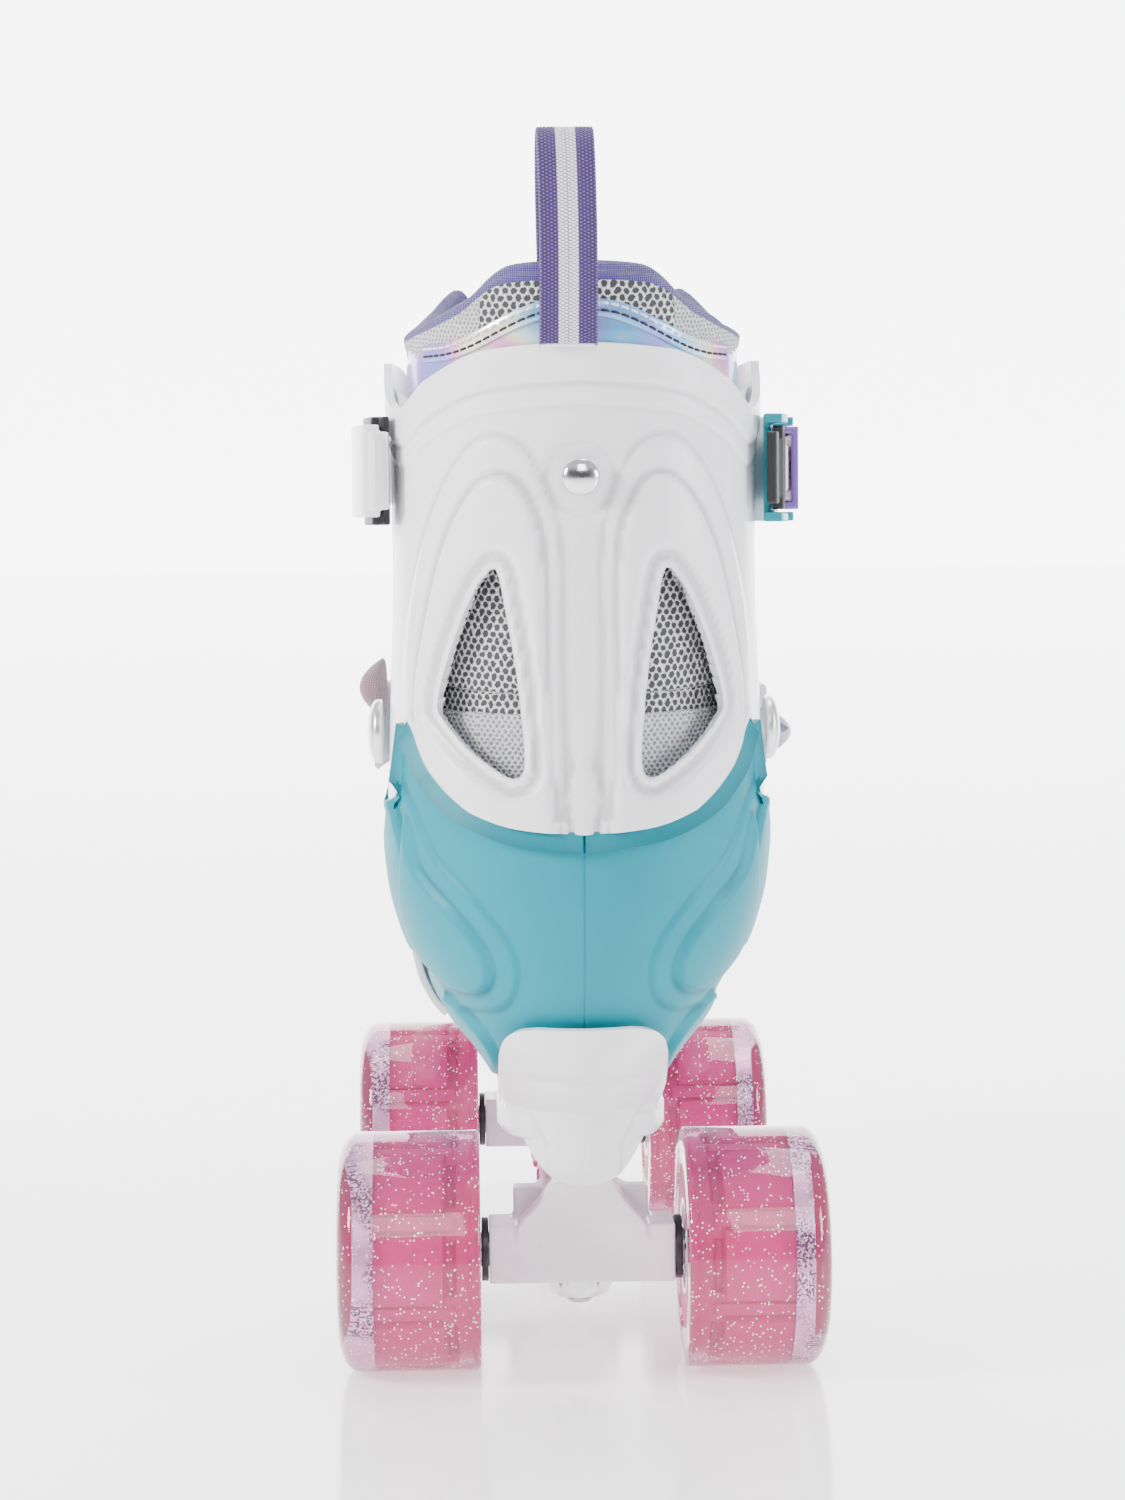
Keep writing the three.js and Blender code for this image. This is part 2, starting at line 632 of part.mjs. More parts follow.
// ---------------------------------------------------------------- plate and toe stop
// Half width of the deck at places along it.
const deckEdge = [
  [-27, 12], [-18, 17], [0, 19], [40, 18], [85, 20], [WHEELBASE - 20, 20],
  [WHEELBASE + 15, 20], [TOE_STOP_Y - 5, 17], [TOE_STOP_Y + 5, 11],
];
function deckOutline(inset = 0) {
  const edge = deckEdge.map(([y, x]) => new THREE.Vector2(x - inset, y));
  return [...edge, ...edge.map((p) => new THREE.Vector2(-p.x, p.y)).reverse()];
}

// The y of the heel's surface at a point seen from behind, standing off by a distance.
function heelFace(x, z, stand) {
  const share = clamp(Math.abs(x) / (heelWidth(z) + stand), 0, 0.98);
  return LEG_CENTRE_Y - (LEG_CENTRE_Y - spine(z) + stand) * Math.sqrt(1 - share * share);
}

// Raised cup that hugs the back of the heel shell and runs down into the pivot housing.
function heelCup() {
  const half = profile([[48, 6.5], [52, 9.5], [58, 14], [65, 18], [71, 18.7], [76, 17], [82, 12.5]]);
  const columns = range(11, (i) => -1 + i / 5);
  const nose = (z) => 2.5 * smoothstep(60, 48, z);
  const back = (x, z) => heelFace(x, Math.max(z, 64), 3.4) + nose(z);
  const low = [48.5, 52, 58, 64].map((z) => [z, (x) => back(x, z) + 6]);
  const high = [RISER_TOP + 0.2, 71, 76, 79.5, 82].map((z) => [z, (x) => heelFace(x, z, 3 * GAP)]);
  const levels = [...low, ...high];
  const face = (depth) =>
    columns.map((c) =>
      levels.map((row) => {
        const x = c * half(row[0]);
        return at(x, depth(x, row), row[0]);
      }),
    );
  return wallBetween(
    face((x, [z]) => back(x, z)),
    face((x, [, front]) => front(x)),
  );
}

function bootPlate() {
  const shape = new THREE.Shape(deckOutline());
  const deck = prism(shape, DECK_BOTTOM, DECK_TOP - DECK_BOTTOM);
  const riser = prism(
    deckOutline(2).filter((p) => p.y < TOE_CAP_START),
    DECK_TOP - 0.5,
    RISER_TOP - DECK_TOP + 0.5,
  );
  const ends = [[0, 1], [WHEELBASE, -1]];
  const bosses = ends.map(([axle, way]) =>
    turnedUp(
      [[0, BOSS_BOTTOM], [10, BOSS_BOTTOM], [11.5, DECK_BOTTOM + 1], [0, DECK_BOTTOM + 1]],
      14,
    ).translate(0, axle + way * KINGPIN_OFFSET, 0),
  );
  const housings = ends.map(([axle, way]) =>
    turnedUp([[0, 47], [6.5, 47], [9, DECK_BOTTOM + 1], [0, DECK_BOTTOM + 1]], 12).translate(
      0,
      axle - way * PIVOT_OFFSET,
      0,
    ),
  );
  const ribs = [-11, 11].map((x) =>
    box(x - 1.5, x + 1.5, 30, WHEELBASE - 30, 50, DECK_BOTTOM + 1),
  );
  const stopBoss = turnedUp([[0, 0], [9, 0], [9, 8], [0, 8]], 12)
    .rotateX(radians(TOE_STOP_TILT_DEG))
    .translate(0, TOE_STOP_Y, TOE_STOP_Z);
  const pins = ends.map(([axle, way]) =>
    new THREE.CylinderGeometry(KINGPIN_RADIUS + 0.2, KINGPIN_RADIUS + 0.2, 14, 12)
      .rotateX(Math.PI / 2)
      .translate(0, axle + way * KINGPIN_OFFSET, 51),
  );
  const cups = ends.map(([axle, way]) =>
    new THREE.SphereGeometry(PIVOT_BALL + 0.6, 12, 8).translate(
      0,
      axle - way * PIVOT_OFFSET,
      PIVOT_HEIGHT,
    ),
  );
  const mouths = ends.map(([axle, way]) =>
    turnedUp([[0, 40], [6, 40], [PIVOT_BALL + 0.2, 49], [0, 49]], 12).translate(
      0,
      axle - way * PIVOT_OFFSET,
      0,
    ),
  );
  const reach = BUTTON_LENGTH / 2 + GAP;
  const pocket = box(11, 40, BUTTON_Y - reach, BUTTON_Y + reach, BUTTON_Z[0] - GAP, BUTTON_Z[1] + GAP);
  return cut(
    join(deck, riser, heelCup(), ...bosses, ...housings, ...ribs, stopBoss),
    ...pins,
    ...cups,
    ...mouths,
    pocket,
    stopHole(),
  );
}

// The stop's own axis starts at its boss and leans forward and down.
const stopFrame = (geometry) =>
  geometry.rotateX(radians(TOE_STOP_TILT_DEG)).translate(0, TOE_STOP_Y, TOE_STOP_Z);

function stopHole() {
  return stopFrame(
    new THREE.CylinderGeometry(2.7, 2.7, 30, 10).rotateX(Math.PI / 2).translate(0, 0, 5),
  );
}

function toeStop() {
  const r = TOE_STOP_RADIUS;
  const top = -GAP;
  const bottom = top - TOE_STOP_HEIGHT;
  return stopFrame(
    turnedUp(
      [
        [3.3, top], [9.5, top], [11, top - 4], [r - 1.5, top - 7], [r, top - 9], [r, bottom + 2],
        [r - 2, bottom], [7, bottom], [7, bottom + 7], [3.3, bottom + 7], [3.3, top],
      ],
      20,
    ),
  );
}

function toeStopBolt() {
  const head = -TOE_STOP_HEIGHT + 7 - 2 * GAP; // top of the bolt's head, in the stop's recess
  return stopFrame(
    turnedUp([[0, head - 4], [5, head - 4], [5, head], [2.5, head], [2.5, 9], [0, 9]], 10),
  );
}

function sizeButton() {
  const [start, reach] = [11 + BUTTON_TRAVEL + GAP, BUTTON_LENGTH / 2];
  return box(start, 24, BUTTON_Y - reach, BUTTON_Y + reach, ...BUTTON_Z);
}

// ---------------------------------------------------------------- trucks
// Modelled as the rear truck, with the pivot behind the axle and the kingpin ahead of it.
function hanger() {
  const half = HANGER_TUBE / 2;
  const [low, high] = [WHEEL_RADIUS - half, WHEEL_RADIUS + half];
  const tube = box(-HANGER_HALF, HANGER_HALF, -half, half, low, high);
  // Height, half width, back and front of the arm that leans back and narrows to the pivot.
  const sections = [
    [32, 14.5, -half - 2, 2],
    [37, 13, -half - 3.5, 0],
    [42, 6, -16, -7],
    [46.5, 2.6, -PIVOT_OFFSET - 2.6, -PIVOT_OFFSET + 2.6],
  ];
  const arm = loft(
    sections.map(([z, x, y0, y1]) => [at(-x, y0, z), at(x, y0, z), at(x, y1, z), at(-x, y1, z)]),
  );
  const ball = new THREE.SphereGeometry(PIVOT_BALL, 10, 8).translate(0, -PIVOT_OFFSET, PIVOT_HEIGHT);
  const neck = turnedUp([[0, 45], [2.4, 45], [2.4, PIVOT_HEIGHT], [0, PIVOT_HEIGHT]], 10).translate(
    0,
    -PIVOT_OFFSET,
    0,
  );
  const yoke = turnedUp(
    [[0, YOKE_BOTTOM], [YOKE_RADIUS, YOKE_BOTTOM], [YOKE_RADIUS, YOKE_TOP], [0, YOKE_TOP]],
    18,
  ).translate(0, KINGPIN_OFFSET, 0);
  const web = box(-YOKE_RADIUS, YOKE_RADIUS, 2, KINGPIN_OFFSET, YOKE_BOTTOM, YOKE_TOP);
  const eye = new THREE.CylinderGeometry(KINGPIN_RADIUS + 2, KINGPIN_RADIUS + 2, 20, 12)
    .rotateX(Math.PI / 2)
    .translate(0, KINGPIN_OFFSET, YOKE_TOP - 3);
  const bore = new THREE.CylinderGeometry(AXLE_RADIUS + 0.25, AXLE_RADIUS + 0.25, 60, 12)
    .rotateZ(Math.PI / 2)
    .translate(0, 0, WHEEL_RADIUS);
  return cut(join(tube, arm, ball, neck, yoke, web), eye, bore);
}

// Steel rod with the black washers and the magnet sleeves between the bearings as steps on it.
function axle() {
  const r = AXLE_RADIUS;
  const sleeve = 6.2;
  const washer = HANGER_HALF + GAP;
  const inner = INNER_SEAT + BEARING_WIDTH + GAP;
  const outer = OUTER_SEAT - GAP;
  const half = [
    [washer, r], [washer, 7], [washer + WASHER, 7], [washer + WASHER, r],
    [inner, r], [inner, sleeve], [outer, sleeve], [outer, r], [WHEEL_OUTER - 1, r],
  ];
  const right = half.map(([x, radius]) => [radius, x]);
  const left = half.map(([x, radius]) => [radius, -x]).reverse();
  return turned([[0, -WHEEL_OUTER + 1], ...left, ...right, [0, WHEEL_OUTER - 1]], 12);
}

// A hexagon from its corner radius.
function hexagon(radius) {
  return new THREE.Shape(
    range(6, (i) => {
      const angle = (i * Math.PI) / 3;
      return new THREE.Vector2(Math.cos(angle), Math.sin(angle)).multiplyScalar(radius);
    }),
  );
}

function axleNut() {
  const hex = hexagon(NUT_FLATS / Math.sqrt(3));
  hex.holes.push(new THREE.Path().absarc(0, 0, AXLE_RADIUS + 0.2, 0, 2 * Math.PI, true));
  return new THREE.ExtrudeGeometry(hex, { depth: NUT_HEIGHT, bevelEnabled: false, curveSegments: 6 });
}

function kingpin() {
  const r = KINGPIN_RADIUS;
  return turnedUp(
    [
      [0, KINGPIN_BOTTOM], [r - 0.5, KINGPIN_BOTTOM], [r, KINGPIN_BOTTOM + 1],
      [r, KINGPIN_TOP], [0, KINGPIN_TOP],
    ],
    12,
  ).translate(0, KINGPIN_OFFSET, 0);
}

function cushion(low, high) {
  const [bore, r] = [KINGPIN_RADIUS + GAP, CUSHION_RADIUS];
  return turnedUp(
    [
      [bore, low], [r - 1, low], [r, low + 1.2], [r, high - 1.2], [r - 1, high], [bore, high],
      [bore, low],
    ],
    14,
  ).translate(0, KINGPIN_OFFSET, 0);
}

function wheelPieces(end, hand, side) {
  const tag = `${end}_${hand}`;
  const rows = [
    [`tyre_${tag}`, tyre(), PINK_URETHANE],
    [`hub_${tag}`, hub(), PINK_PLASTIC],
    [`bearing_inner_${tag}`, bearing(INNER_SEAT), STEEL],
    [`bearing_outer_${tag}`, bearing(OUTER_SEAT), STEEL],
  ];
  return rows.map(([name, geometry, look]) => {
    const turnedGeometry = side > 0 ? geometry : geometry.rotateZ(Math.PI);
    return [name, turnedGeometry.translate(0, 0, WHEEL_RADIUS), look];
  });
}

// Cast urethane tyre: flat tread, crisp inner edge and a domed outer shoulder.
function tyre() {
  const flat = WHEEL_RADIUS / Math.cos(Math.PI / TYRE_SEGMENTS); // so that its flats touch the floor
  const bore = HUB_RADIUS + 0.3;
  const [start, end] = [WHEEL_INNER, WHEEL_OUTER];
  return turned(
    [
      [bore, start], [flat - 1, start], [flat, start + 1], [flat, end - WHEEL_SHOULDER - 2],
      [flat - 1.6, end - WHEEL_SHOULDER + 1], [flat - 5, end - 1.2], [bore, end], [bore, start],
    ],
    TYRE_SEGMENTS,
  );
}

function hub() {
  const seat = BEARING_OUTER + 0.15;
  const shoulder = BEARING_OUTER - 2;
  const [start, end] = [WHEEL_INNER + 0.1, WHEEL_OUTER - 0.3];
  const [outer, top] = [OUTER_SEAT - 0.1, OUTER_SEAT + BEARING_WIDTH];
  const inner = INNER_SEAT + BEARING_WIDTH + 0.1;
  return turned(
    [
      [seat, start], [HUB_RADIUS - 0.2, start], [HUB_RADIUS, end], [HUB_RADIUS - 5, end - 0.3],
      [seat + 1.4, top], [seat, top], [seat, outer], [shoulder, outer], [shoulder, inner],
      [seat, inner], [seat, start],
    ],
    18,
  );
}

function bearing(start) {
  const end = start + BEARING_WIDTH;
  const [bore, rim] = [BEARING_BORE + 0.1, BEARING_OUTER - 0.1];
  return turned([[bore, start], [rim, start], [rim, end], [bore, end], [bore, start]], 16);
}

function addTruck(end) {
  const group = new THREE.Group();
  if (end === "front") {
    group.position.y = WHEELBASE;
    group.rotation.z = Math.PI;
  }
  skate.add(group);
  // The front truck is turned end for end, so its right-hand wheel is built on its own left.
  const turnedRound = end === "front" ? -1 : 1;
  place(`hanger_${end}`, hanger(), WHITE_PLASTIC, group);
  place(`axle_${end}`, axle().translate(0, 0, WHEEL_RADIUS), STEEL, group);
  place(`kingpin_${end}`, kingpin(), STEEL, group);
  place(`kingpin_nut_${end}`, axleNut().translate(0, KINGPIN_OFFSET, KINGPIN_NUT_Z), CHROME, group);
  const upper = cushion(YOKE_TOP + 0.3, BOSS_BOTTOM - 0.3);
  const lower = cushion(KINGPIN_NUT_Z + NUT_HEIGHT + 0.3, YOKE_BOTTOM - 0.3);
  place(`cushion_upper_${end}`, upper, SOFT_URETHANE, group);
  place(`cushion_lower_${end}`, lower, SOFT_URETHANE, group);
  for (const [hand, side] of [["left", -1], ["right", 1]]) {
    const way = side * turnedRound;
    place(
      `axle_nut_${end}_${hand}`,
      axleNut()
        .rotateY((way * Math.PI) / 2)
        .translate(way * NUT_START, 0, WHEEL_RADIUS),
      CHROME,
      group,
    );
    for (const [name, geometry, look] of wheelPieces(end, hand, way))
      place(name, geometry, look, group);
  }
}

// ---------------------------------------------------------------- rivets, straps and buckle
function ankleRivet(side) {
  const skin = sideWidth(ANKLE_Y, ANKLE_Z);
  const inner = skin - SHELL_INSET - SHELL_WALL - 0.2;
  return turned(
    [
      [0, inner], [RIVET_SHANK, inner], [RIVET_SHANK, skin + 0.8], [RIVET_HEAD, skin + 0.8],
      [RIVET_HEAD - 0.4, skin + 1.8], [RIVET_HEAD - 3, skin + 3.4], [0, skin + 4],
    ],
    16,
  )
    .rotateZ(side > 0 ? 0 : Math.PI)
    .translate(0, ANKLE_Y, ANKLE_Z);
}

function rearRivet() {
  const skin = -spine(REAR_RIVET_Z);
  const inner = skin - CUFF_WALL - 0.2;
  return turned(
    [
      [0, inner], [REAR_RIVET_SHANK, inner], [REAR_RIVET_SHANK, skin + 0.4], [4, skin + 0.4],
      [3.6, skin + 1.6], [2, skin + 2.6], [0, skin + 2.9],
    ],
    12,
  )
    .rotateZ(-Math.PI / 2)
    .translate(0, 0, REAR_RIVET_Z);
}

// Half width of the leg at the strap's height, at a y.
function legSkin(y) {
  if (y > LEG_CENTRE_Y) return sideWidth(y, STRAP_Z);
  const share = (LEG_CENTRE_Y - y) / (LEG_CENTRE_Y - spine(STRAP_Z));
  return heelWidth(STRAP_Z) * Math.sqrt(1 - share * share);
}

// A strip that follows the leg at a height, standing off its skin from one distance to another.
function legStrip(ys, side, near, far, z, height) {
  const line = (stand) => ys.map((y) => new THREE.Vector2(side * (legSkin(y) + stand), y));
  return prism([...line(near), ...line(far).reverse()], z, height);
}

const pinPoint = () => [sideWidth(BUCKLE_FRONT - 3, STRAP_Z) + PIN_STAND, BUCKLE_FRONT - 3];

function pinCylinder(radius, length) {
  const [x, y] = pinPoint();
  return new THREE.CylinderGeometry(radius, radius, length, 10)
    .rotateX(Math.PI / 2)
    .translate(x, y, STRAP_Z);
}

function buckleBase() {
  const low = STRAP_Z - BUCKLE_HEIGHT / 2;
  const floorYs = [BUCKLE_BACK, 2, 11, 20, 28, BUCKLE_FRONT];
  const floor = legStrip(floorYs, 1, BASE_STAND, BASE_FACE, low, BUCKLE_HEIGHT);
  const cheeks = [low, low + BUCKLE_HEIGHT - CHEEK].map((z) =>
    legStrip([26, BUCKLE_FRONT - 3, BUCKLE_FRONT], 1, BASE_FACE - 0.4, PIN_STAND + 2.4, z, CHEEK),
  );
  const rearYs = [RELEASE_Y - 3, RELEASE_Y, RELEASE_Y + 3];
  const rear = [low, low + BUCKLE_HEIGHT - CHEEK].map((z) =>
    legStrip(rearYs, 1, BASE_FACE - 0.4, LEVER_STAND + 2.6, z, CHEEK),
  );
  return cut(
    join(floor, ...cheeks, ...rear),
    pinCylinder(PIN_RADIUS + 0.15, BUCKLE_HEIGHT + 4),
    releasePin(PIN_RADIUS + 0.15, BUCKLE_HEIGHT + 4),
  );
}

function buckleLever() {
  const low = STRAP_Z - LEVER_HALF;
  const ys = [LEVER_BACK, 13, 20, 26, BUCKLE_FRONT - 3];
  const plate = legStrip(ys, 1, LEVER_STAND, LEVER_STAND + LEVER_THICK, low, 2 * LEVER_HALF);
  const flange = 1.6;
  const walls = [low, low + 2 * LEVER_HALF - flange].map((z) =>
    legStrip([LEVER_BACK, 13, 20, 26], 1, BASE_FACE + 0.9, LEVER_STAND + 0.4, z, flange),
  );
  const barrel = pinCylinder(BARREL_RADIUS, 2 * LEVER_HALF);
  return cut(join(plate, barrel, ...walls), pinCylinder(PIN_RADIUS + 0.15, BUCKLE_HEIGHT + 4));
}

function releasePin(radius, length) {
  return new THREE.CylinderGeometry(radius, radius, length, 10)
    .rotateX(Math.PI / 2)
    .translate(legSkin(RELEASE_Y) + LEVER_STAND + 0.9, RELEASE_Y, STRAP_Z);
}

// Sprung tab behind the lever: its rear end presses in and its nose lifts off the strap's teeth.
function buckleRelease() {
  const half = LEVER_HALF;
  const tab = legStrip(
    [RELEASE_Y - 8, RELEASE_Y - 3, RELEASE_Y, RELEASE_Y + 3, RELEASE_Y + 5.5],
    1,
    LEVER_STAND,
    LEVER_STAND + LEVER_THICK,
    STRAP_Z - half,
    2 * half,
  );
  return join(tab, releasePin(PIN_RADIUS, BUCKLE_HEIGHT));
}

// One curved band from its anchor on the left, round the shin, and through the buckle.
function ladderStrap() {
  const left = [-8, 0, 8, 16, 26, 36];
  const shinSide = [[-33.5, 50], [-22, 61], [-9, 66.5], [9, 66.5], [22, 61], [32.5, 50]];
  const right = [36, 28, 20, 12, 5];
  const stand = (out) => [
    ...left.map((y) => new THREE.Vector2(-(legSkin(y) + 3.2 + out), y)),
    ...shinSide.map(([x, y]) => new THREE.Vector2(x * (1 + out / 45), y + out)),
    ...right.map((y) => new THREE.Vector2(legSkin(y) + STRAP_STAND + out, y)),
  ];
  return prism([...stand(0), ...stand(STRAP_THICK).reverse()], STRAP_Z - STRAP_WIDTH / 2, STRAP_WIDTH);
}

function strapAnchor() {
  const height = BUCKLE_HEIGHT + 2;
  const pad = legStrip([-8, 0, 8, 16], -1, BASE_STAND, 2.8, STRAP_Z - height / 2, height);
  const lugs = [STRAP_Z - height / 2, STRAP_Z + height / 2 - 4].map((z) =>
    legStrip([-6, 2, 10], -1, 2.4, 6.4, z, 4),
  );
  return join(pad, ...lugs);
}

// Webbing band over the instep, from one ankle to the other, its width turning with the slope.
function powerStrap() {
  const count = 17;
  const width = 20;
  const section = (stand) =>
    range(count, (i) => {
      const t = (i / (count - 1)) * 2 - 1;
      const angle = (t * Math.PI) / 2;
      const lean = Math.cos(angle);
      const centre = at(
        (43.4 + stand) * Math.sign(t) * Math.abs(Math.sin(angle)) ** 1.1,
        42 + (33 + stand) * lean,
        143 + (9.5 + stand * 0.8) * lean ** 2,
      );
      const tilt = 0.7 * lean ** 2;
      const across = at(0, -tilt, Math.sqrt(1 - tilt * tilt));
      return [-1, 1].map((k) => centre.clone().addScaledVector(across, (k * width) / 2));
    });
  return wallBetween(section(3.6), section(1.6));
}

// Webbing loop: up outside the collar, over, and down inside it.
function pullLoop() {
  const outside = [
    [-31.2, 233], [-31.4, 245], [-32.5, 255], [-32.2, 266], [-29.5, 273.5], [-25.4, LOOP_TOP],
  ];
  const inside = [[-21.5, 273.5], [-19, 266], [-19.5, 255], [-20.4, 246], [-20.6, 236]];
  const centre = [-25.6, 256];
  const shrink = ([y, z]) => {
    const [dy, dz] = [y - centre[0], z - centre[1]];
    const length = Math.hypot(dy, dz * 0.35) || 1;
    return [y - (dy / length) * 1.5, z - (z > 262 ? (dz / Math.hypot(dy, dz)) * 1.5 : 0)];
  };
  const line = [...outside, ...inside];
  return sidePrism([...line, ...line.map(shrink).reverse()], LOOP_HALF);
}

// Height of the liner's foot at a distance from its middle line.
function instep(x, y) {
  const levels = range(40, (i) => 1 - i / 60);
  const found = levels.find(
    (t) => sideWidth(y, mix(LINER_FLOOR, footCrown(y), t)) - LINER_INSET >= Math.abs(x),
  );
  return mix(LINER_FLOOR, footCrown(y) - LINER_INSET, found ?? 0.4);
}

// One lace, crossing the tongue from eyelet to eyelet.
function laces() {
  const rows = [[110, 1], [105, -1], [100, 1], [95, -1], [90, 1]];
  const over = (x, y) => {
    const tongue = Math.abs(x) < THROAT_HALF + 1 ? footCrown(y) - LINER_INSET + 2.5 : 0;
    return at(x, y, Math.max(tongue, instep(x, y)) + LACE_RADIUS + 1.7);
  };
  const path = rows.flatMap(([y, side]) =>
    [-17, -12.5, -5, 5, 12.5, 17].map((x, i) => over(side * x, y - i * 0.8)),
  );
  return outward(
    new THREE.ExtrudeGeometry(hexagon(LACE_RADIUS), {
      steps: 58,
      extrudePath: new THREE.CatmullRomCurve3(path, false, "centripetal"),
      bevelEnabled: false,
    }),
  );
}

// ---------------------------------------------------------------- assembly
place("plate", bootPlate(), WHITE_PLASTIC);
place("heel_shell", heelShell(), TEAL_PLASTIC);
place("insole", insole(), PURPLE_FABRIC);
place("liner_foot", linerFoot(), MESH_FABRIC);
place("tongue_lower", tongueLower(), MESH_FABRIC);
place("laces", laces(), WHITE_PLASTIC);
place("power_strap", powerStrap(), SILVER_FABRIC);
place("toe_stop", toeStop(), SOFT_URETHANE);
place("toe_stop_bolt", toeStopBolt(), STEEL);
place("size_button", sizeButton(), PURPLE_PLASTIC);
place("toe_cap", toeCap(), WHITE_PLASTIC);
place("liner_toe", linerToe(), MESH_FABRIC);
place("cuff", cuff(), WHITE_PLASTIC);
place("liner_collar", linerCollar(), MESH_FABRIC);
place("tongue_upper", tongueUpper(), PURPLE_FABRIC);
place("pull_loop", pullLoop(), PURPLE_FABRIC);
place("rear_rivet", rearRivet(), CHROME);
place("ankle_rivet_left", ankleRivet(-1), CHROME);
place("ankle_rivet_right", ankleRivet(1), CHROME);
place("ladder_strap", ladderStrap(), WHITE_PLASTIC);
place("strap_anchor", strapAnchor(), BLACK_PLASTIC);
place("buckle_base", buckleBase(), TEAL_PLASTIC);
place("buckle_lever", buckleLever(), PURPLE_PLASTIC);
place("buckle_pin", pinCylinder(PIN_RADIUS, BUCKLE_HEIGHT), STEEL);
place("buckle_release", buckleRelease(), BLACK_PLASTIC);
addTruck("rear");
addTruck("front");

// The origin is mid-way along the skate, on the floor.
const extent = new THREE.Box3().setFromObject(skate);
skate.position.y = -(extent.min.y + extent.max.y) / 2;

export default skate;
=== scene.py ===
import logging
import math
from dataclasses import dataclass, field
from enum import Enum
from typing import Callable, Sequence

import bmesh
import bpy
import numpy as np
from mathutils import Matrix, Vector


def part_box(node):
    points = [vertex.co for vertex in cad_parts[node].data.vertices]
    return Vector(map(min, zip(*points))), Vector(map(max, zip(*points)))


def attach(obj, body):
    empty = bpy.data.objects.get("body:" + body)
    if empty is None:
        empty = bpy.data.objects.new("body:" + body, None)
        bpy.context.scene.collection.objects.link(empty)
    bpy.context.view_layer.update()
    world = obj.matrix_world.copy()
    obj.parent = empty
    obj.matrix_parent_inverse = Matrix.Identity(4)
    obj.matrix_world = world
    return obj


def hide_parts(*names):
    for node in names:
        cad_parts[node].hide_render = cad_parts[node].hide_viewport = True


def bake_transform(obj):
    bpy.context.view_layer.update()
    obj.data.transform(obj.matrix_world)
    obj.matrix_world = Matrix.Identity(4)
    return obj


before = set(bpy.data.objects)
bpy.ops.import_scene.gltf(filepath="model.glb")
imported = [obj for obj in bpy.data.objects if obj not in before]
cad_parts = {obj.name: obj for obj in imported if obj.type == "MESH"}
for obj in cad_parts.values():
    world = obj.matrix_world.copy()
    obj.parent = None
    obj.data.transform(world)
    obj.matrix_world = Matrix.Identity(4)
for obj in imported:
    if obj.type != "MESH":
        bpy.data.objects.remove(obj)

log = logging.getLogger("skate")
Array = np.ndarray
Object = bpy.types.Object
MM = 0.001


# ---------------------------------------------------------------- small maths
def smoothstep(low: float, high: float, value: Array) -> Array:
    """Eases from 0 at low to 1 at high."""
    t = np.clip((np.asarray(value, float) - low) / (high - low), 0, 1)
    return t * t * (3 - 2 * t)


def mix(a: Array, b: Array, t: Array) -> Array:
    """Blends a into b by the share t."""
    return a + (b - a) * t


def distance_along(path: Array) -> Array:
    """Returns how far along a path each of its points is."""
    return np.concatenate([[0], np.linalg.norm(np.diff(path, axis=0), axis=1).cumsum()])


def respaced(path: Array, count: int) -> Array:
    """Returns a path as a number of evenly spaced points."""
    step = distance_along(path)
    s = np.linspace(0, step[-1], count)
    return np.stack([np.interp(s, step, path[:, k]) for k in range(path.shape[1])], -1)


def relaxed(path: Array, rounds: int) -> Array:
    """Smooths a path between its fixed ends, in place."""
    for _ in range(rounds):
        path[1:-1] = path[1:-1] / 2 + (path[2:] + path[:-2]) / 4
    return path


def headings(path: Array) -> Array:
    """Returns the unit direction of a path at each of its points."""
    tangent = np.gradient(path, axis=0)
    return tangent / np.linalg.norm(tangent, axis=1)[:, None]


def facing_out(directions: Array, points: Array, centre: Sequence[float]) -> Array:
    """Returns directions, turned round where they point towards a centre."""
    return directions * np.sign((directions * (points - np.array(centre))).sum(-1, keepdims=True))


class Profile:
    """A smooth curve through points that never overshoots them."""

    def __init__(self, *points: tuple[float, float]) -> None:
        """Args: points are (input, output) pairs in rising order of input."""
        self.x, self.y = np.array(points, float).T
        slope = np.diff(self.y) / np.diff(self.x)
        product = slope[:-1] * slope[1:]
        total = slope[:-1] + slope[1:]
        safe = np.where(product > 0, total, 1)
        inner = np.where(product > 0, 2 * product / safe, 0)
        self.tangent = np.concatenate([slope[:1], inner, slope[-1:]])

    def __call__(self, value: Array) -> Array:
        """Returns the curve's output at value."""
        value = np.clip(value, self.x[0], self.x[-1])
        i = np.clip(np.searchsorted(self.x, value, "right") - 1, 0, len(self.x) - 2)
        step = self.x[i + 1] - self.x[i]
        t = (value - self.x[i]) / step
        return (
            self.y[i] * (2 * t**3 - 3 * t**2 + 1)
            + self.tangent[i] * step * (t**3 - 2 * t**2 + t)
            + self.y[i + 1] * (3 * t**2 - 2 * t**3)
            + self.tangent[i + 1] * step * (t**3 - t**2)
        )


def axle_y(end: str) -> float:
    """Returns the y of an axle in the row frame, in metres."""
    low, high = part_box(f"tyre_{end}_right")
    return (low.y + high.y) / 2


SHIFT_Y = axle_y("rear")  # the design frame has y = 0 over the rear axle


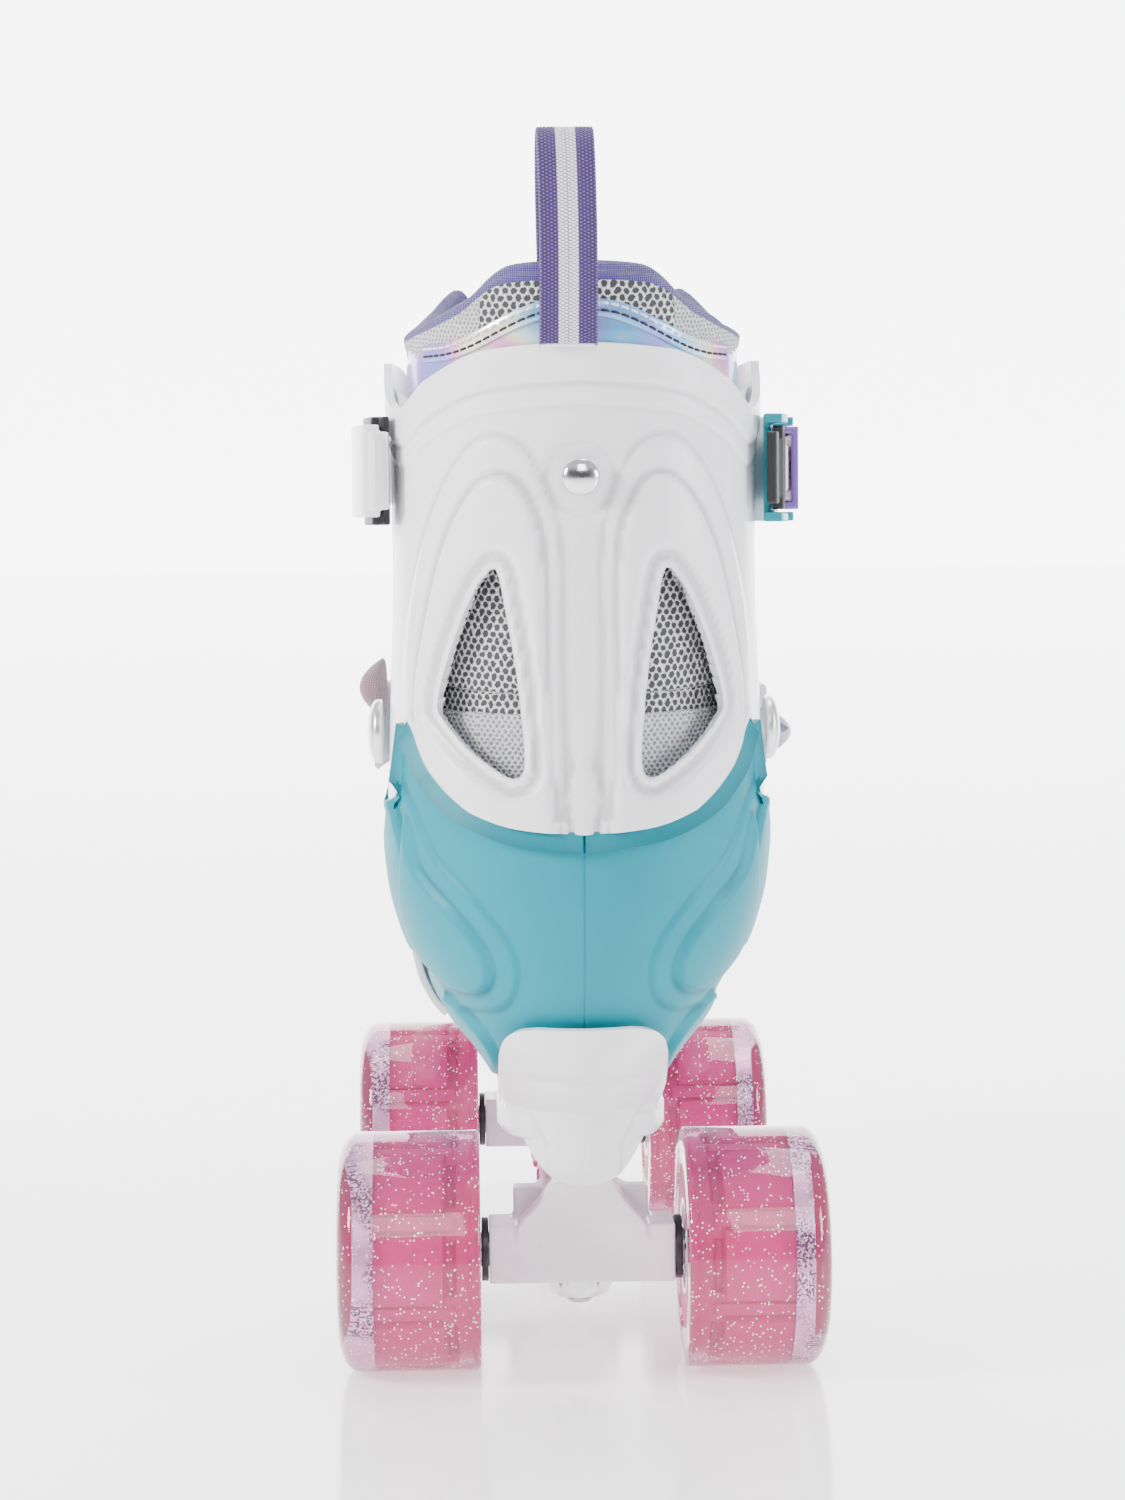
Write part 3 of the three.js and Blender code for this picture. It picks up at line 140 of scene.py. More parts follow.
# ---------------------------------------------------------------- mesh making
@dataclass
class Shape:
    """Vertices in the design frame, in millimetres, with faces and optional UVs per vertex."""

    verts: Array
    faces: list
    uv: Array | None = None
    masks: dict[str, Array] = field(default_factory=dict)

    def moved(self, offset: Sequence[float]) -> "Shape":
        """Returns a copy moved by offset."""
        return Shape(self.verts + np.array(offset, float), self.faces, self.uv, self.masks)

    def turned(self, matrix: Matrix) -> "Shape":
        """Returns a copy turned by a matrix."""
        rotation = np.array(matrix.to_3x3())
        return Shape(self.verts @ rotation.T, self.faces, self.uv, self.masks)

    def mirrored(self) -> "Shape":
        """Returns a copy mirrored left to right."""
        faces = [tuple(reversed(f)) for f in self.faces]
        return Shape(self.verts * np.array([-1, 1, 1]), faces, self.uv, self.masks)


def together(shapes: Sequence[Shape]) -> Shape:
    """Returns several shapes as one."""
    verts, faces, uvs = [], [], []
    count = 0
    for shape in shapes:
        verts.append(shape.verts)
        faces += [tuple(i + count for i in f) for f in shape.faces]
        uvs.append(shape.uv if shape.uv is not None else np.zeros((len(shape.verts), 2)))
        count += len(shape.verts)
    return Shape(np.concatenate(verts), faces, np.concatenate(uvs))


def grid_shape(points: Array, wrap: bool = False) -> Shape:
    """Returns a surface through a grid of points.

    Args:
        points: columns by rows by xyz.
        wrap: joins the last column to the first.
    """
    columns, rows = points.shape[:2]
    index = np.arange(columns * rows).reshape(columns, rows)
    a = index[:, :-1] if wrap else index[:-1, :-1]
    b = np.roll(index, -1, 0)[:, :-1] if wrap else index[1:, :-1]
    c = np.roll(index, -1, 0)[:, 1:] if wrap else index[1:, 1:]
    d = index[:, 1:] if wrap else index[:-1, 1:]
    faces = np.stack([a, b, c, d], -1).reshape(-1, 4).tolist()
    across = np.linalg.norm(np.diff(points, axis=0, prepend=points[:1]), axis=2).cumsum(0)
    along = np.linalg.norm(np.diff(points, axis=1, prepend=points[:, :1]), axis=2).cumsum(1)
    uv = np.stack([across - across[columns // 2], along], -1).reshape(-1, 2)
    return Shape(points.reshape(-1, 3), faces, uv)


def lathe(profile: Sequence[tuple[float, float]], segments: int = 72, ends: bool = False) -> Shape:
    """Returns a turned surface about the X axis.

    Args:
        profile: (radius, x) pairs; a closed ring of them unless ends is set.
        segments: steps round the axis.
        ends: the profile starts and ends on the axis and isn't joined up.
    """
    outline = np.array(profile if ends else [*profile, profile[0]], float)
    angle = np.linspace(0, 2 * math.pi, segments, endpoint=False)[:, None]
    radius = outline[None, :, 0]
    points = np.stack(
        [
            np.broadcast_to(outline[None, :, 1], (segments, len(outline))),
            radius * np.sin(angle),
            radius * np.cos(angle),
        ],
        -1,
    )
    return grid_shape(points, wrap=True)


def rounded(profile: Sequence[tuple[float, float]], radius: float, steps: int = 4) -> list:
    """Returns a closed 2D outline with its corners rounded."""
    points = np.array(profile, float)
    out = []
    for i, corner in enumerate(points):
        before, after = points[i - 1] - corner, points[(i + 1) % len(points)] - corner
        reach = min(radius, 0.45 * np.linalg.norm(before), 0.45 * np.linalg.norm(after))
        start = corner + before / np.linalg.norm(before) * reach
        end = corner + after / np.linalg.norm(after) * reach
        for t in np.linspace(0, 1, steps + 1):
            out.append(tuple((1 - t) ** 2 * start + 2 * t * (1 - t) * corner + t**2 * end))
    return out


def box_shape(low: Sequence[float], high: Sequence[float]) -> Shape:
    """Returns a box between two corners."""
    x0, y0, z0 = low
    x1, y1, z1 = high
    verts = np.array(
        [(x, y, z) for x in (x0, x1) for y in (y0, y1) for z in (z0, z1)],
        float,
    )
    faces = [(0, 1, 3, 2), (4, 6, 7, 5), (0, 4, 5, 1), (2, 3, 7, 6), (0, 2, 6, 4), (1, 5, 7, 3)]
    return Shape(verts, faces)


def prism_shape(outline: Sequence[tuple[float, float]], low: float, high: float) -> Shape:
    """Returns an XY outline pushed up from z low to z high."""
    n = len(outline)
    verts = [(x, y, z) for z in (low, high) for x, y in outline]
    sides = [(i, (i + 1) % n, n + (i + 1) % n, n + i) for i in range(n)]
    faces = [*sides, tuple(range(n))[::-1], tuple(range(n, 2 * n))]
    return Shape(np.array(verts, float), faces)


def turned_up(profile: Sequence[tuple[float, float]], segments: int) -> Shape:
    """Returns a turned surface about the Z axis from (radius, z) pairs."""
    shape = lathe(profile, segments, ends=True)
    return Shape(shape.verts[:, [1, 2, 0]], shape.faces, shape.uv)


def loft(rings: Sequence[Array]) -> Shape:
    """Returns a closed solid through rings of points."""
    count = len(rings[0])
    faces = [
        (r * count + i, r * count + (i + 1) % count, (r + 1) * count + (i + 1) % count, (r + 1) * count + i)
        for r in range(len(rings) - 1)
        for i in range(count)
    ]
    last = (len(rings) - 1) * count
    faces += [tuple(range(count))[::-1], tuple(range(last, last + count))]
    return Shape(np.concatenate(rings).astype(float), faces)


def sweep(path: Array, section: Array, up: Sequence[float] = (0, 0, 1), closed: bool = True) -> Shape:
    """Returns a section carried along a path.

    Args:
        path: points by xyz.
        section: outline as (across, out) pairs.
        up: direction that the section's second axis leans towards.
        closed: the outline is a ring.
    """
    tangent = np.gradient(path, axis=0)
    tangent /= np.linalg.norm(tangent, axis=1)[:, None]
    side = np.cross(tangent, np.broadcast_to(np.array(up, float), tangent.shape))
    side /= np.maximum(np.linalg.norm(side, axis=1), 1e-9)[:, None]
    out = np.cross(side, tangent)
    ring = np.vstack([section, section[:1]]) if closed else section
    points = (
        path[:, None]
        + side[:, None] * ring[None, :, :1]
        + out[:, None] * ring[None, :, 1:2]
    )
    return grid_shape(points)


def build(name: str, shape: Shape, sharp: float = 40.0) -> Object:
    """Makes a mesh object of a shape, in the row frame, smooth but for edges over sharp degrees."""
    verts = shape.verts * MM + np.array([0, SHIFT_Y, 0])
    mesh = bpy.data.meshes.new(name)
    mesh.from_pydata(verts.tolist(), [], shape.faces)
    if shape.uv is not None:
        layer = mesh.uv_layers.new(name="mm")
        loops = np.zeros(len(mesh.loops), np.int64)
        mesh.loops.foreach_get("vertex_index", loops)
        layer.data.foreach_set("uv", shape.uv[loops].astype(np.float32).ravel())
    for key, values in shape.masks.items():
        mesh.attributes.new(key, "FLOAT", "POINT").data.foreach_set(
            "value", np.asarray(values, np.float32).ravel()
        )
    work = bmesh.new()
    work.from_mesh(mesh)
    bmesh.ops.remove_doubles(work, verts=work.verts, dist=2e-6)
    bmesh.ops.dissolve_degenerate(work, edges=work.edges, dist=1e-6)
    bmesh.ops.recalc_face_normals(work, faces=work.faces)
    work.to_mesh(mesh)
    work.free()
    mesh.polygons.foreach_set("use_smooth", [True] * len(mesh.polygons))
    mesh.set_sharp_from_angle(angle=math.radians(sharp))
    made = bpy.data.objects.new(name, mesh)
    bpy.context.scene.collection.objects.link(made)
    return made


def apply(target: Object) -> Object:
    """Bakes an object's modifiers into its mesh."""
    graph = bpy.context.evaluated_depsgraph_get()
    mesh = bpy.data.meshes.new_from_object(target.evaluated_get(graph), depsgraph=graph)
    target.modifiers.clear()
    target.data = mesh
    return target


def moulded(name: str, shapes: Sequence[Shape], voxel: float, smooth: int) -> Object:
    """Fuses several closed shapes into one moulding with soft inner and outer corners.

    Args:
        name: the object's name.
        shapes: closed shapes that overlap.
        voxel: cell size in millimetres.
        smooth: rounds of smoothing.
    """
    made = build(name, together(shapes))
    fuse = made.modifiers.new("fuse", "REMESH")
    fuse.mode = "VOXEL"
    fuse.voxel_size = voxel * MM
    fuse.use_smooth_shade = True
    soften = made.modifiers.new("soften", "SMOOTH")
    soften.factor = 0.5
    soften.iterations = smooth
    return apply(made)


def thicken(sheet: Object, thickness: float, edge: float) -> Object:
    """Turns a sheet into a wall that grows inwards, with rounded edges."""
    wall = sheet.modifiers.new("wall", "SOLIDIFY")
    wall.thickness = thickness * MM
    wall.offset = -1
    wall.use_even_offset = False
    rim = sheet.modifiers.new("rim", "BEVEL")
    rim.width = edge * MM
    rim.segments = 3
    rim.limit_method = "ANGLE"
    rim.angle_limit = math.radians(50)
    apply(sheet)
    sheet.data.polygons.foreach_set("use_smooth", [True] * len(sheet.data.polygons))
    return sheet


# ---------------------------------------------------------------- finishes
class Shading:
    """Short hand for building one material's nodes."""

    def __init__(self, name: str) -> None:
        """Starts a material with a principled shader."""
        self.material = bpy.data.materials.new(name)
        self.material.use_nodes = True
        self.tree = self.material.node_tree
        self.shader = self.tree.nodes["Principled BSDF"]
        self.output = self.tree.nodes["Material Output"]

    def node(self, kind: str, **settings: object) -> bpy.types.Node:
        """Adds a node; settings that name a socket set or link it, and others set the node."""
        made = self.tree.nodes.new(kind)
        for key, value in settings.items():
            if hasattr(made, key) and key not in ("scale",):
                setattr(made, key, value)
            else:
                self.feed(made.inputs[key.replace("_", " ").title()], value)
        return made

    def feed(self, socket: bpy.types.NodeSocket, value: object) -> None:
        """Links an output to a socket, or sets its value."""
        if isinstance(value, bpy.types.NodeSocket):
            self.tree.links.new(value, socket)
        elif isinstance(value, (tuple, list)) and len(value) == 3 and socket.type == "RGBA":
            socket.default_value = (*value, 1)
        else:
            socket.default_value = value

    def put(self, **values: object) -> None:
        """Sets or links the principled shader's inputs."""
        for key, value in values.items():
            self.feed(self.shader.inputs[key.replace("_", " ")], value)

    def math(self, operation: str, *values: object) -> bpy.types.NodeSocket:
        """Returns the output of a math node."""
        made = self.tree.nodes.new("ShaderNodeMath")
        made.operation = operation
        for socket, value in zip(made.inputs, values):
            self.feed(socket, value)
        return made.outputs[0]

    def blend(self, share: object, a: object, b: object) -> bpy.types.NodeSocket:
        """Returns a colour mixed from a to b."""
        made = self.tree.nodes.new("ShaderNodeMix")
        made.data_type = "RGBA"
        self.feed(made.inputs[0], share)
        self.feed(made.inputs[6], a)
        self.feed(made.inputs[7], b)
        return made.outputs[2]

    def uv(self) -> tuple[bpy.types.NodeSocket, bpy.types.NodeSocket]:
        """Returns the surface's two coordinates in millimetres."""
        place = self.tree.nodes.new("ShaderNodeUVMap")
        place.uv_map = "mm"
        split = self.tree.nodes.new("ShaderNodeSeparateXYZ")
        self.feed(split.inputs[0], place.outputs[0])
        return split.outputs[0], split.outputs[1]

    def place(self) -> bpy.types.NodeSocket:
        """Returns the place in the row frame, in metres."""
        return self.tree.nodes.new("ShaderNodeTexCoord").outputs["Object"]

    def mask(self, name: str) -> bpy.types.NodeSocket:
        """Returns a mask stored on the mesh."""
        made = self.tree.nodes.new("ShaderNodeAttribute")
        made.attribute_name = name
        return made.outputs["Fac"]

    def noise(self, scale: float, detail: float = 2.0) -> bpy.types.NodeSocket:
        """Returns noise from 0 to 1 with features of 1/scale metres."""
        made = self.tree.nodes.new("ShaderNodeTexNoise")
        self.feed(made.inputs["Vector"], self.place())
        made.inputs["Scale"].default_value = scale
        made.inputs["Detail"].default_value = detail
        return made.outputs[0]

    def ramp(self, value: object, low: float, high: float) -> bpy.types.NodeSocket:
        """Returns value stretched so that low gives 0 and high gives 1."""
        made = self.tree.nodes.new("ShaderNodeMapRange")
        self.feed(made.inputs[0], value)
        made.inputs[1].default_value = low
        made.inputs[2].default_value = high
        return made.outputs[0]

    def relief(self, height: object, depth: float, strength: float = 1.0) -> None:
        """Adds a bump map; depth is in millimetres."""
        made = self.tree.nodes.new("ShaderNodeBump")
        made.inputs["Distance"].default_value = depth * MM
        made.inputs["Strength"].default_value = strength
        self.feed(made.inputs["Height"], height)
        self.feed(self.shader.inputs["Normal"], made.outputs[0])


@dataclass(frozen=True)
class Plastic:
    """A moulded plastic: a colour with a fine grain and a soft sheen."""

    name: str
    colour: tuple[float, float, float]
    roughness: float = 0.3
    grain: float = 0.012
    coat: float = 0.0
    glow: float = 0.0

    def make(self) -> bpy.types.Material:
        """Returns the material."""
        s = Shading(self.name)
        wear = s.noise(90, 4)
        tone = s.blend(s.math("MULTIPLY", wear, 0.08), self.colour, tuple(c * 0.8 for c in self.colour))
        s.put(Base_Color=tone, Roughness=s.math("MULTIPLY_ADD", wear, 0.1, self.roughness - 0.05))
        s.put(Coat_Weight=self.coat, Coat_Roughness=0.12, IOR=1.5)
        if self.glow:
            s.put(Subsurface_Weight=self.glow, Subsurface_Scale=0.004)
            s.put(Subsurface_Radius=(1.0, 0.7, 0.8))
        s.relief(s.noise(2600, 1), self.grain)
        return s.material


@dataclass(frozen=True)
class GrainedPlastic:
    """A glossy plastic with a matt, sparked texture where the mesh's grain mask says, and painted shade where
    its fold mask says.
    """

    name: str
    colour: tuple[float, float, float]
    roughness: float = 0.22
    # depth is how strongly the painted shade darkens the folds
    depth: float = 0.5

    def make(self) -> bpy.types.Material:
        """Returns the material."""
        s = Shading(self.name)
        grain, fold = s.mask("grain"), s.mask("fold")
        shade = s.blend(grain, self.colour, tuple(c * 0.965 for c in self.colour))
        # painted shade: the embossing's folds are darkened in the colour, standing in for the shade that
        # falls in them
        shade = s.blend(s.math("MULTIPLY", fold, self.depth), shade, tuple(c * 0.35 for c in self.colour))
        rough = s.math("MULTIPLY_ADD", grain, 0.3, self.roughness)
        s.put(Base_Color=shade, Roughness=rough, IOR=1.46, Specular_IOR_Level=0.22)
        height = s.math("MULTIPLY", s.noise(1500, 2), s.math("MULTIPLY_ADD", grain, 0.9, 0.1))
        s.relief(height, 0.16)
        return s.material


@dataclass(frozen=True)
class Metal:
    """Polished or brushed metal."""

    name: str
    colour: tuple[float, float, float] = (0.82, 0.82, 0.84)
    roughness: float = 0.1

    def make(self) -> bpy.types.Material:
        """Returns the material."""
        s = Shading(self.name)
        wear = s.ramp(s.noise(400, 5), 0.35, 0.7)
        s.put(Base_Color=self.colour, Metallic=1.0)
        s.put(Roughness=s.math("MULTIPLY_ADD", wear, 0.12, self.roughness))
        s.relief(s.noise(1200, 1), 0.004)
        return s.material


@dataclass(frozen=True)
class GlitterUrethane:
    """Clear pink cast urethane with silver flakes in it, which glow faintly as painted glints."""

    name: str
    colour: tuple[float, float, float] = (1.0, 0.50, 0.76)
    flakes: float = 0.3

    def make(self) -> bpy.types.Material:
        """Returns the material."""
        s = Shading(self.name)
        s.put(Base_Color=self.colour, Roughness=0.05, IOR=1.46, Transmission_Weight=0.94)
        flake_with_painted_glint = s.tree.nodes.new("ShaderNodeBsdfPrincipled")
        flake_with_painted_glint.inputs["Base Color"].default_value = (1, 0.95, 0.98, 1)
        flake_with_painted_glint.inputs["Metallic"].default_value = 0.5
        flake_with_painted_glint.inputs["Roughness"].default_value = 0.3
        # painted glint: the flakes give off a little light of their own
        flake_with_painted_glint.inputs["Emission Color"].default_value = (1, 0.93, 0.97, 1)
        flake_with_painted_glint.inputs["Emission Strength"].default_value = 0.8
        shares = []
        for scale, size in ((1250, 0.23), (900, 0.16)):
            cell = s.tree.nodes.new("ShaderNodeTexVoronoi")
            s.feed(cell.inputs["Vector"], s.place())
            cell.inputs["Scale"].default_value = scale
            tint = s.tree.nodes.new("ShaderNodeSeparateColor")
            s.feed(tint.inputs[0], cell.outputs["Color"])
            near = s.math("LESS_THAN", cell.outputs["Distance"], size)
            picked = s.math("LESS_THAN", tint.outputs[0], self.flakes)
            shares.append(s.math("MULTIPLY", near, picked))
        share = s.math("MAXIMUM", *shares)
        mixer = s.tree.nodes.new("ShaderNodeMixShader")
        s.feed(mixer.inputs[0], share)
        s.tree.links.new(s.shader.outputs[0], mixer.inputs[1])
        s.tree.links.new(flake_with_painted_glint.outputs[0], mixer.inputs[2])
        s.tree.links.new(mixer.outputs[0], s.output.inputs[0])
        return s.material


@dataclass(frozen=True)
class SpeckledFoil:
    """A silver foil ring with light and dark speckles round its length."""

    name: str

    def make(self) -> bpy.types.Material:
        """Returns the material."""
        s = Shading(self.name)
        patch = s.ramp(s.noise(70, 1), 0.47, 0.58)
        speckle = s.ramp(s.noise(1700, 2), 0.46, 0.54)
        dark = s.math("MULTIPLY", patch, speckle)
        tone = s.blend(dark, (0.86, 0.87, 0.90), (0.10, 0.09, 0.13))
        s.put(Base_Color=tone, Metallic=0.5, Roughness=0.35)
        return s.material


@dataclass(frozen=True)
class HoleMesh:
    """Spacer mesh: a bright knit with rows of dark six-sided holes."""

    name: str
    pitch: float = 2.05
    yarn: tuple[float, float, float] = (0.90, 0.90, 0.93)
    gap: tuple[float, float, float] = (0.03, 0.03, 0.035)
    hole: float = 0.35

    def make(self) -> bpy.types.Material:
        """Returns the material."""
        s = Shading(self.name)
        u, v = s.uv()
        wave = s.math("MULTIPLY", s.math("SUBTRACT", s.noise(500, 1), 0.5), 0.5)
        u = s.math("ADD", s.math("DIVIDE", u, self.pitch), wave)
        v = s.math("ADD", s.math("DIVIDE", v, self.pitch * 1.5), wave)
        distances = []
        for shift in (0.0, 0.5):
            du = s.math("ABSOLUTE", s.math("SUBTRACT", s.math("FRACT", s.math("ADD", u, shift)), 0.5))
            dv = s.math("ABSOLUTE", s.math("SUBTRACT", s.math("FRACT", s.math("ADD", v, shift)), 0.5))
            dv = s.math("MULTIPLY", dv, 1.5)
            slant = s.math("MULTIPLY_ADD", du, 0.866, s.math("MULTIPLY", dv, 0.5))
            distances.append(s.math("MAXIMUM", dv, slant))
        distance = s.math("MINIMUM", *distances)
        open_share = s.ramp(distance, self.hole + 0.03, self.hole - 0.03)
        fibre = s.noise(3500, 2)
        yarn = s.blend(s.ramp(fibre, 0.3, 0.7), tuple(c * 0.82 for c in self.yarn), self.yarn)
        s.put(Base_Color=s.blend(open_share, yarn, self.gap), Roughness=0.75, Sheen_Weight=0.3)
        height = s.math("ADD", s.ramp(distance, self.hole - 0.08, 0.5), s.math("MULTIPLY", fibre, 0.25))
        s.relief(height, 0.5)
        return s.material


@dataclass(frozen=True)
class Knit:
    """A soft knit with fine slanting stitches, painted darker in the hollows between them as shade."""

    name: str
    colour: tuple[float, float, float]
    pitch: float = 1.0

    def make(self) -> bpy.types.Material:
        """Returns the material."""
        s = Shading(self.name)
        u, v = s.uv()
        lean = s.math("SINE", s.math("MULTIPLY", s.math("ADD", u, v), 2 * math.pi / self.pitch))
        cross = s.math("SINE", s.math("MULTIPLY", s.math("SUBTRACT", u, v), 2 * math.pi / self.pitch))
        loop = s.ramp(s.math("MULTIPLY", lean, cross), -1, 1)
        # painted shade: the stitch pattern darkens the colour where its bumps are low
        tone = s.blend(loop, tuple(c * 0.55 for c in self.colour), self.colour)
        s.put(Base_Color=tone, Roughness=0.85, Sheen_Weight=0.5, Sheen_Roughness=0.4)
        s.relief(loop, 0.35)
        return s.material


@dataclass(frozen=True)
class Iridescent:
    """A pearly film that runs through blue, pink and yellow along the surface."""

    name: str

    def make(self) -> bpy.types.Material:
        """Returns the material."""
        s = Shading(self.name)
        facing = s.tree.nodes.new("ShaderNodeLayerWeight")
        facing.inputs["Blend"].default_value = 0.35
        swing = s.math("ADD", s.math("MULTIPLY", s.noise(38, 1), 2.2), facing.outputs["Facing"])
        ramp = s.tree.nodes.new("ShaderNodeValToRGB")
        s.feed(ramp.inputs[0], s.math("FRACT", swing))
        stops = [
            (0.0, (0.12, 0.48, 0.85)),
            (0.25, (0.62, 0.86, 0.95)),
            (0.42, (0.90, 0.90, 0.62)),
            (0.58, (0.92, 0.38, 0.66)),
            (0.78, (0.36, 0.26, 0.82)),
            (1.0, (0.12, 0.48, 0.85)),
        ]
        while len(ramp.color_ramp.elements) < len(stops):
            ramp.color_ramp.elements.new(0.5)
        for element, (at, colour) in zip(ramp.color_ramp.elements, stops):
            element.position = at
            element.color = (*colour, 1)
        s.put(Base_Color=ramp.outputs[0], Metallic=0.3, Roughness=0.2, Coat_Weight=0.4)
        return s.material


@dataclass(frozen=True)
class Webbing:
    """Ribbed webbing with a lighter stripe along its middle, painted lighter on the ribs' crests as highlight
    and darker between them as shade.
    """

    name: str
    colour: tuple[float, float, float]
    stripe: tuple[float, float, float]
    stripe_half: float

    def make(self) -> bpy.types.Material:
        """Returns the material."""
        s = Shading(self.name)
        u, _ = s.uv()
        inside = s.ramp(s.math("ABSOLUTE", u), self.stripe_half + 0.15, self.stripe_half - 0.15)
        base = s.blend(inside, self.colour, self.stripe)
        lift = s.mask("lift")
        # painted highlight and shade: light is the lit colour on the rib crests and dark the shaded colour
        # between the ribs, chosen by the lift mask
        light = s.blend(inside, tuple(min(1.0, c * 3 + 0.16) for c in self.colour), (0.95, 0.95, 0.98))
        dark = s.blend(0.86, base, (0.01, 0.008, 0.02))
        tone = s.blend(s.ramp(lift, 0.0, 0.45), dark, s.blend(s.ramp(lift, 0.7, 1.0), base, light))
        s.put(Base_Color=tone, Roughness=0.6, Sheen_Weight=0.2)
        s.relief(s.noise(4000, 2), 0.05)
        return s.material


@dataclass(frozen=True)
class SilverCloth:
    """Shiny woven band."""

    name: str
    colour: tuple[float, float, float] = (0.74, 0.74, 0.79)

    def make(self) -> bpy.types.Material:
        """Returns the material."""
        s = Shading(self.name)
        u, v = s.uv()
        weave = s.math(
            "MULTIPLY",
            s.math("SINE", s.math("MULTIPLY", u, 9.0)),
            s.math("SINE", s.math("MULTIPLY", v, 9.0)),
        )
        s.put(Base_Color=self.colour, Metallic=0.35, Roughness=0.38)
        s.relief(weave, 0.05)
        return s.material


TEAL_PLASTIC = (0.0, 0.24, 0.31)


class Look(Enum):
    """The skate's finishes."""

    WHITE = Plastic("white_plastic", (0.87, 0.87, 0.90), 0.26, 0.01, 0.2, 0.15)
    WHITE_GRAINED = GrainedPlastic("white_grained", (0.87, 0.87, 0.91))
    TEAL = Plastic("teal_plastic", TEAL_PLASTIC, 0.3, 0.05)
    TEAL_MOULDED = GrainedPlastic("teal_moulding", TEAL_PLASTIC, 0.42, 0.5)
    PURPLE = Plastic("purple_plastic", (0.20, 0.09, 0.46), 0.3, 0.01, 0.2)
    BLACK = Plastic("black_plastic", (0.012, 0.012, 0.016), 0.4, 0.01)
    CORE = Plastic("pink_core", (0.72, 0.01, 0.24), 0.45, 0.01)
    SOFT = Plastic("soft_urethane", (0.88, 0.55, 0.70), 0.4, 0.01, 0.1, 0.4)
    TYRE = GlitterUrethane("glitter_urethane")
    FOIL = SpeckledFoil("speckled_foil")
    CHROME = Metal("chrome")
    STEEL = Metal("steel", (0.55, 0.55, 0.58), 0.25)
    SATIN_STEEL = Metal("satin_steel", (0.80, 0.80, 0.82), 0.28)
    HOLES = HoleMesh("spacer_mesh")
    FINE_MESH = HoleMesh("fine_mesh", 1.3, (0.84, 0.84, 0.88), (0.22, 0.22, 0.25), 0.26)
    LINING = Knit("lining", (0.09, 0.06, 0.34))
    LACE = Knit("lace", (0.82, 0.82, 0.86), 0.7)
    FILM = Iridescent("iridescent_film")
    LOOP = Webbing("purple_webbing", (0.045, 0.012, 0.14), (0.80, 0.80, 0.86), 2.1)
    SILVER = SilverCloth("silver_webbing")
    PINK_CLOTH = Knit("strap_back", (0.36, 0.24, 0.28), 0.8)
    STITCH = Plastic("stitch_thread", (0.88, 0.88, 0.90), 0.7)
    DARK_STITCH = Plastic("dark_thread", (0.02, 0.02, 0.03), 0.7)


class Paint:
    """Makes each finish once and hands it out."""

    made: dict[Look, bpy.types.Material] = {}

    @classmethod
    def on(cls, target: Object, *looks: Look) -> Object:
        """Gives an object its finishes, in slot order."""
        faces = target.data.polygons
        slots = np.zeros(len(faces), np.int32)
        faces.foreach_get("material_index", slots)
        target.data.materials.clear()
        for look in looks:
            if look not in cls.made:
                cls.made[look] = look.value.make()
            target.data.materials.append(cls.made[look])
        faces.foreach_set("material_index", np.minimum(slots, len(looks) - 1))
        return target


def finish_piece(
    target: Object, body: str, slot: str, *looks: Look, stands_for: Sequence[str] = ()
) -> Object:
    """Paints a piece, fixes it to a body and hides the CAD nodes it stands for."""
    Paint.on(target, *looks)
    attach(target, body)
    if stands_for:
        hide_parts(*stands_for)
    log.info("made %s", target.name)
    return target


def declare_sheet(target: Object, width: float) -> None:
    """Declares cloth cut straight to a width in millimetres; its length follows from its area."""
    area = sum(face.area for face in target.data.polygons) / 2
    log.info("%s is cloth of %.1f x %.1f mm", target.name, width, area / (width * MM) / MM)


# ---------------------------------------------------------------- the boot's outer form
@dataclass(frozen=True)
class Sizes:
    """Sizes in millimetres that several sub-assemblies share."""

    wheelbase: float = 150.0
    wheel_radius: float = 27.0
    wheel_inner: float = 23.0
    wheel_width: float = 32.0
    leg_y: float = 12.0
    ankle_y: float = 20.0
    ankle_z: float = 144.0
    ear: float = 14.0
    cuff_front: float = 52.0
    cuff_wall: float = 2.5
    shell_front: float = 146.0
    cap_start: float = 115.0
    toe_front: float = 212.0
    liner_inset: float = 5.8
    pad: float = 6.0
    strap_z: float = 203.5
    rear_rivet_z: float = 201.5
    kingpin: float = 18.0
    pivot: float = 14.0


SIZES = Sizes()
TOE_STOP_AT = (0, 191, 50)  # where its axis leaves the boss
TOE_STOP_TILT = Matrix.Rotation(math.radians(35), 3, "X")


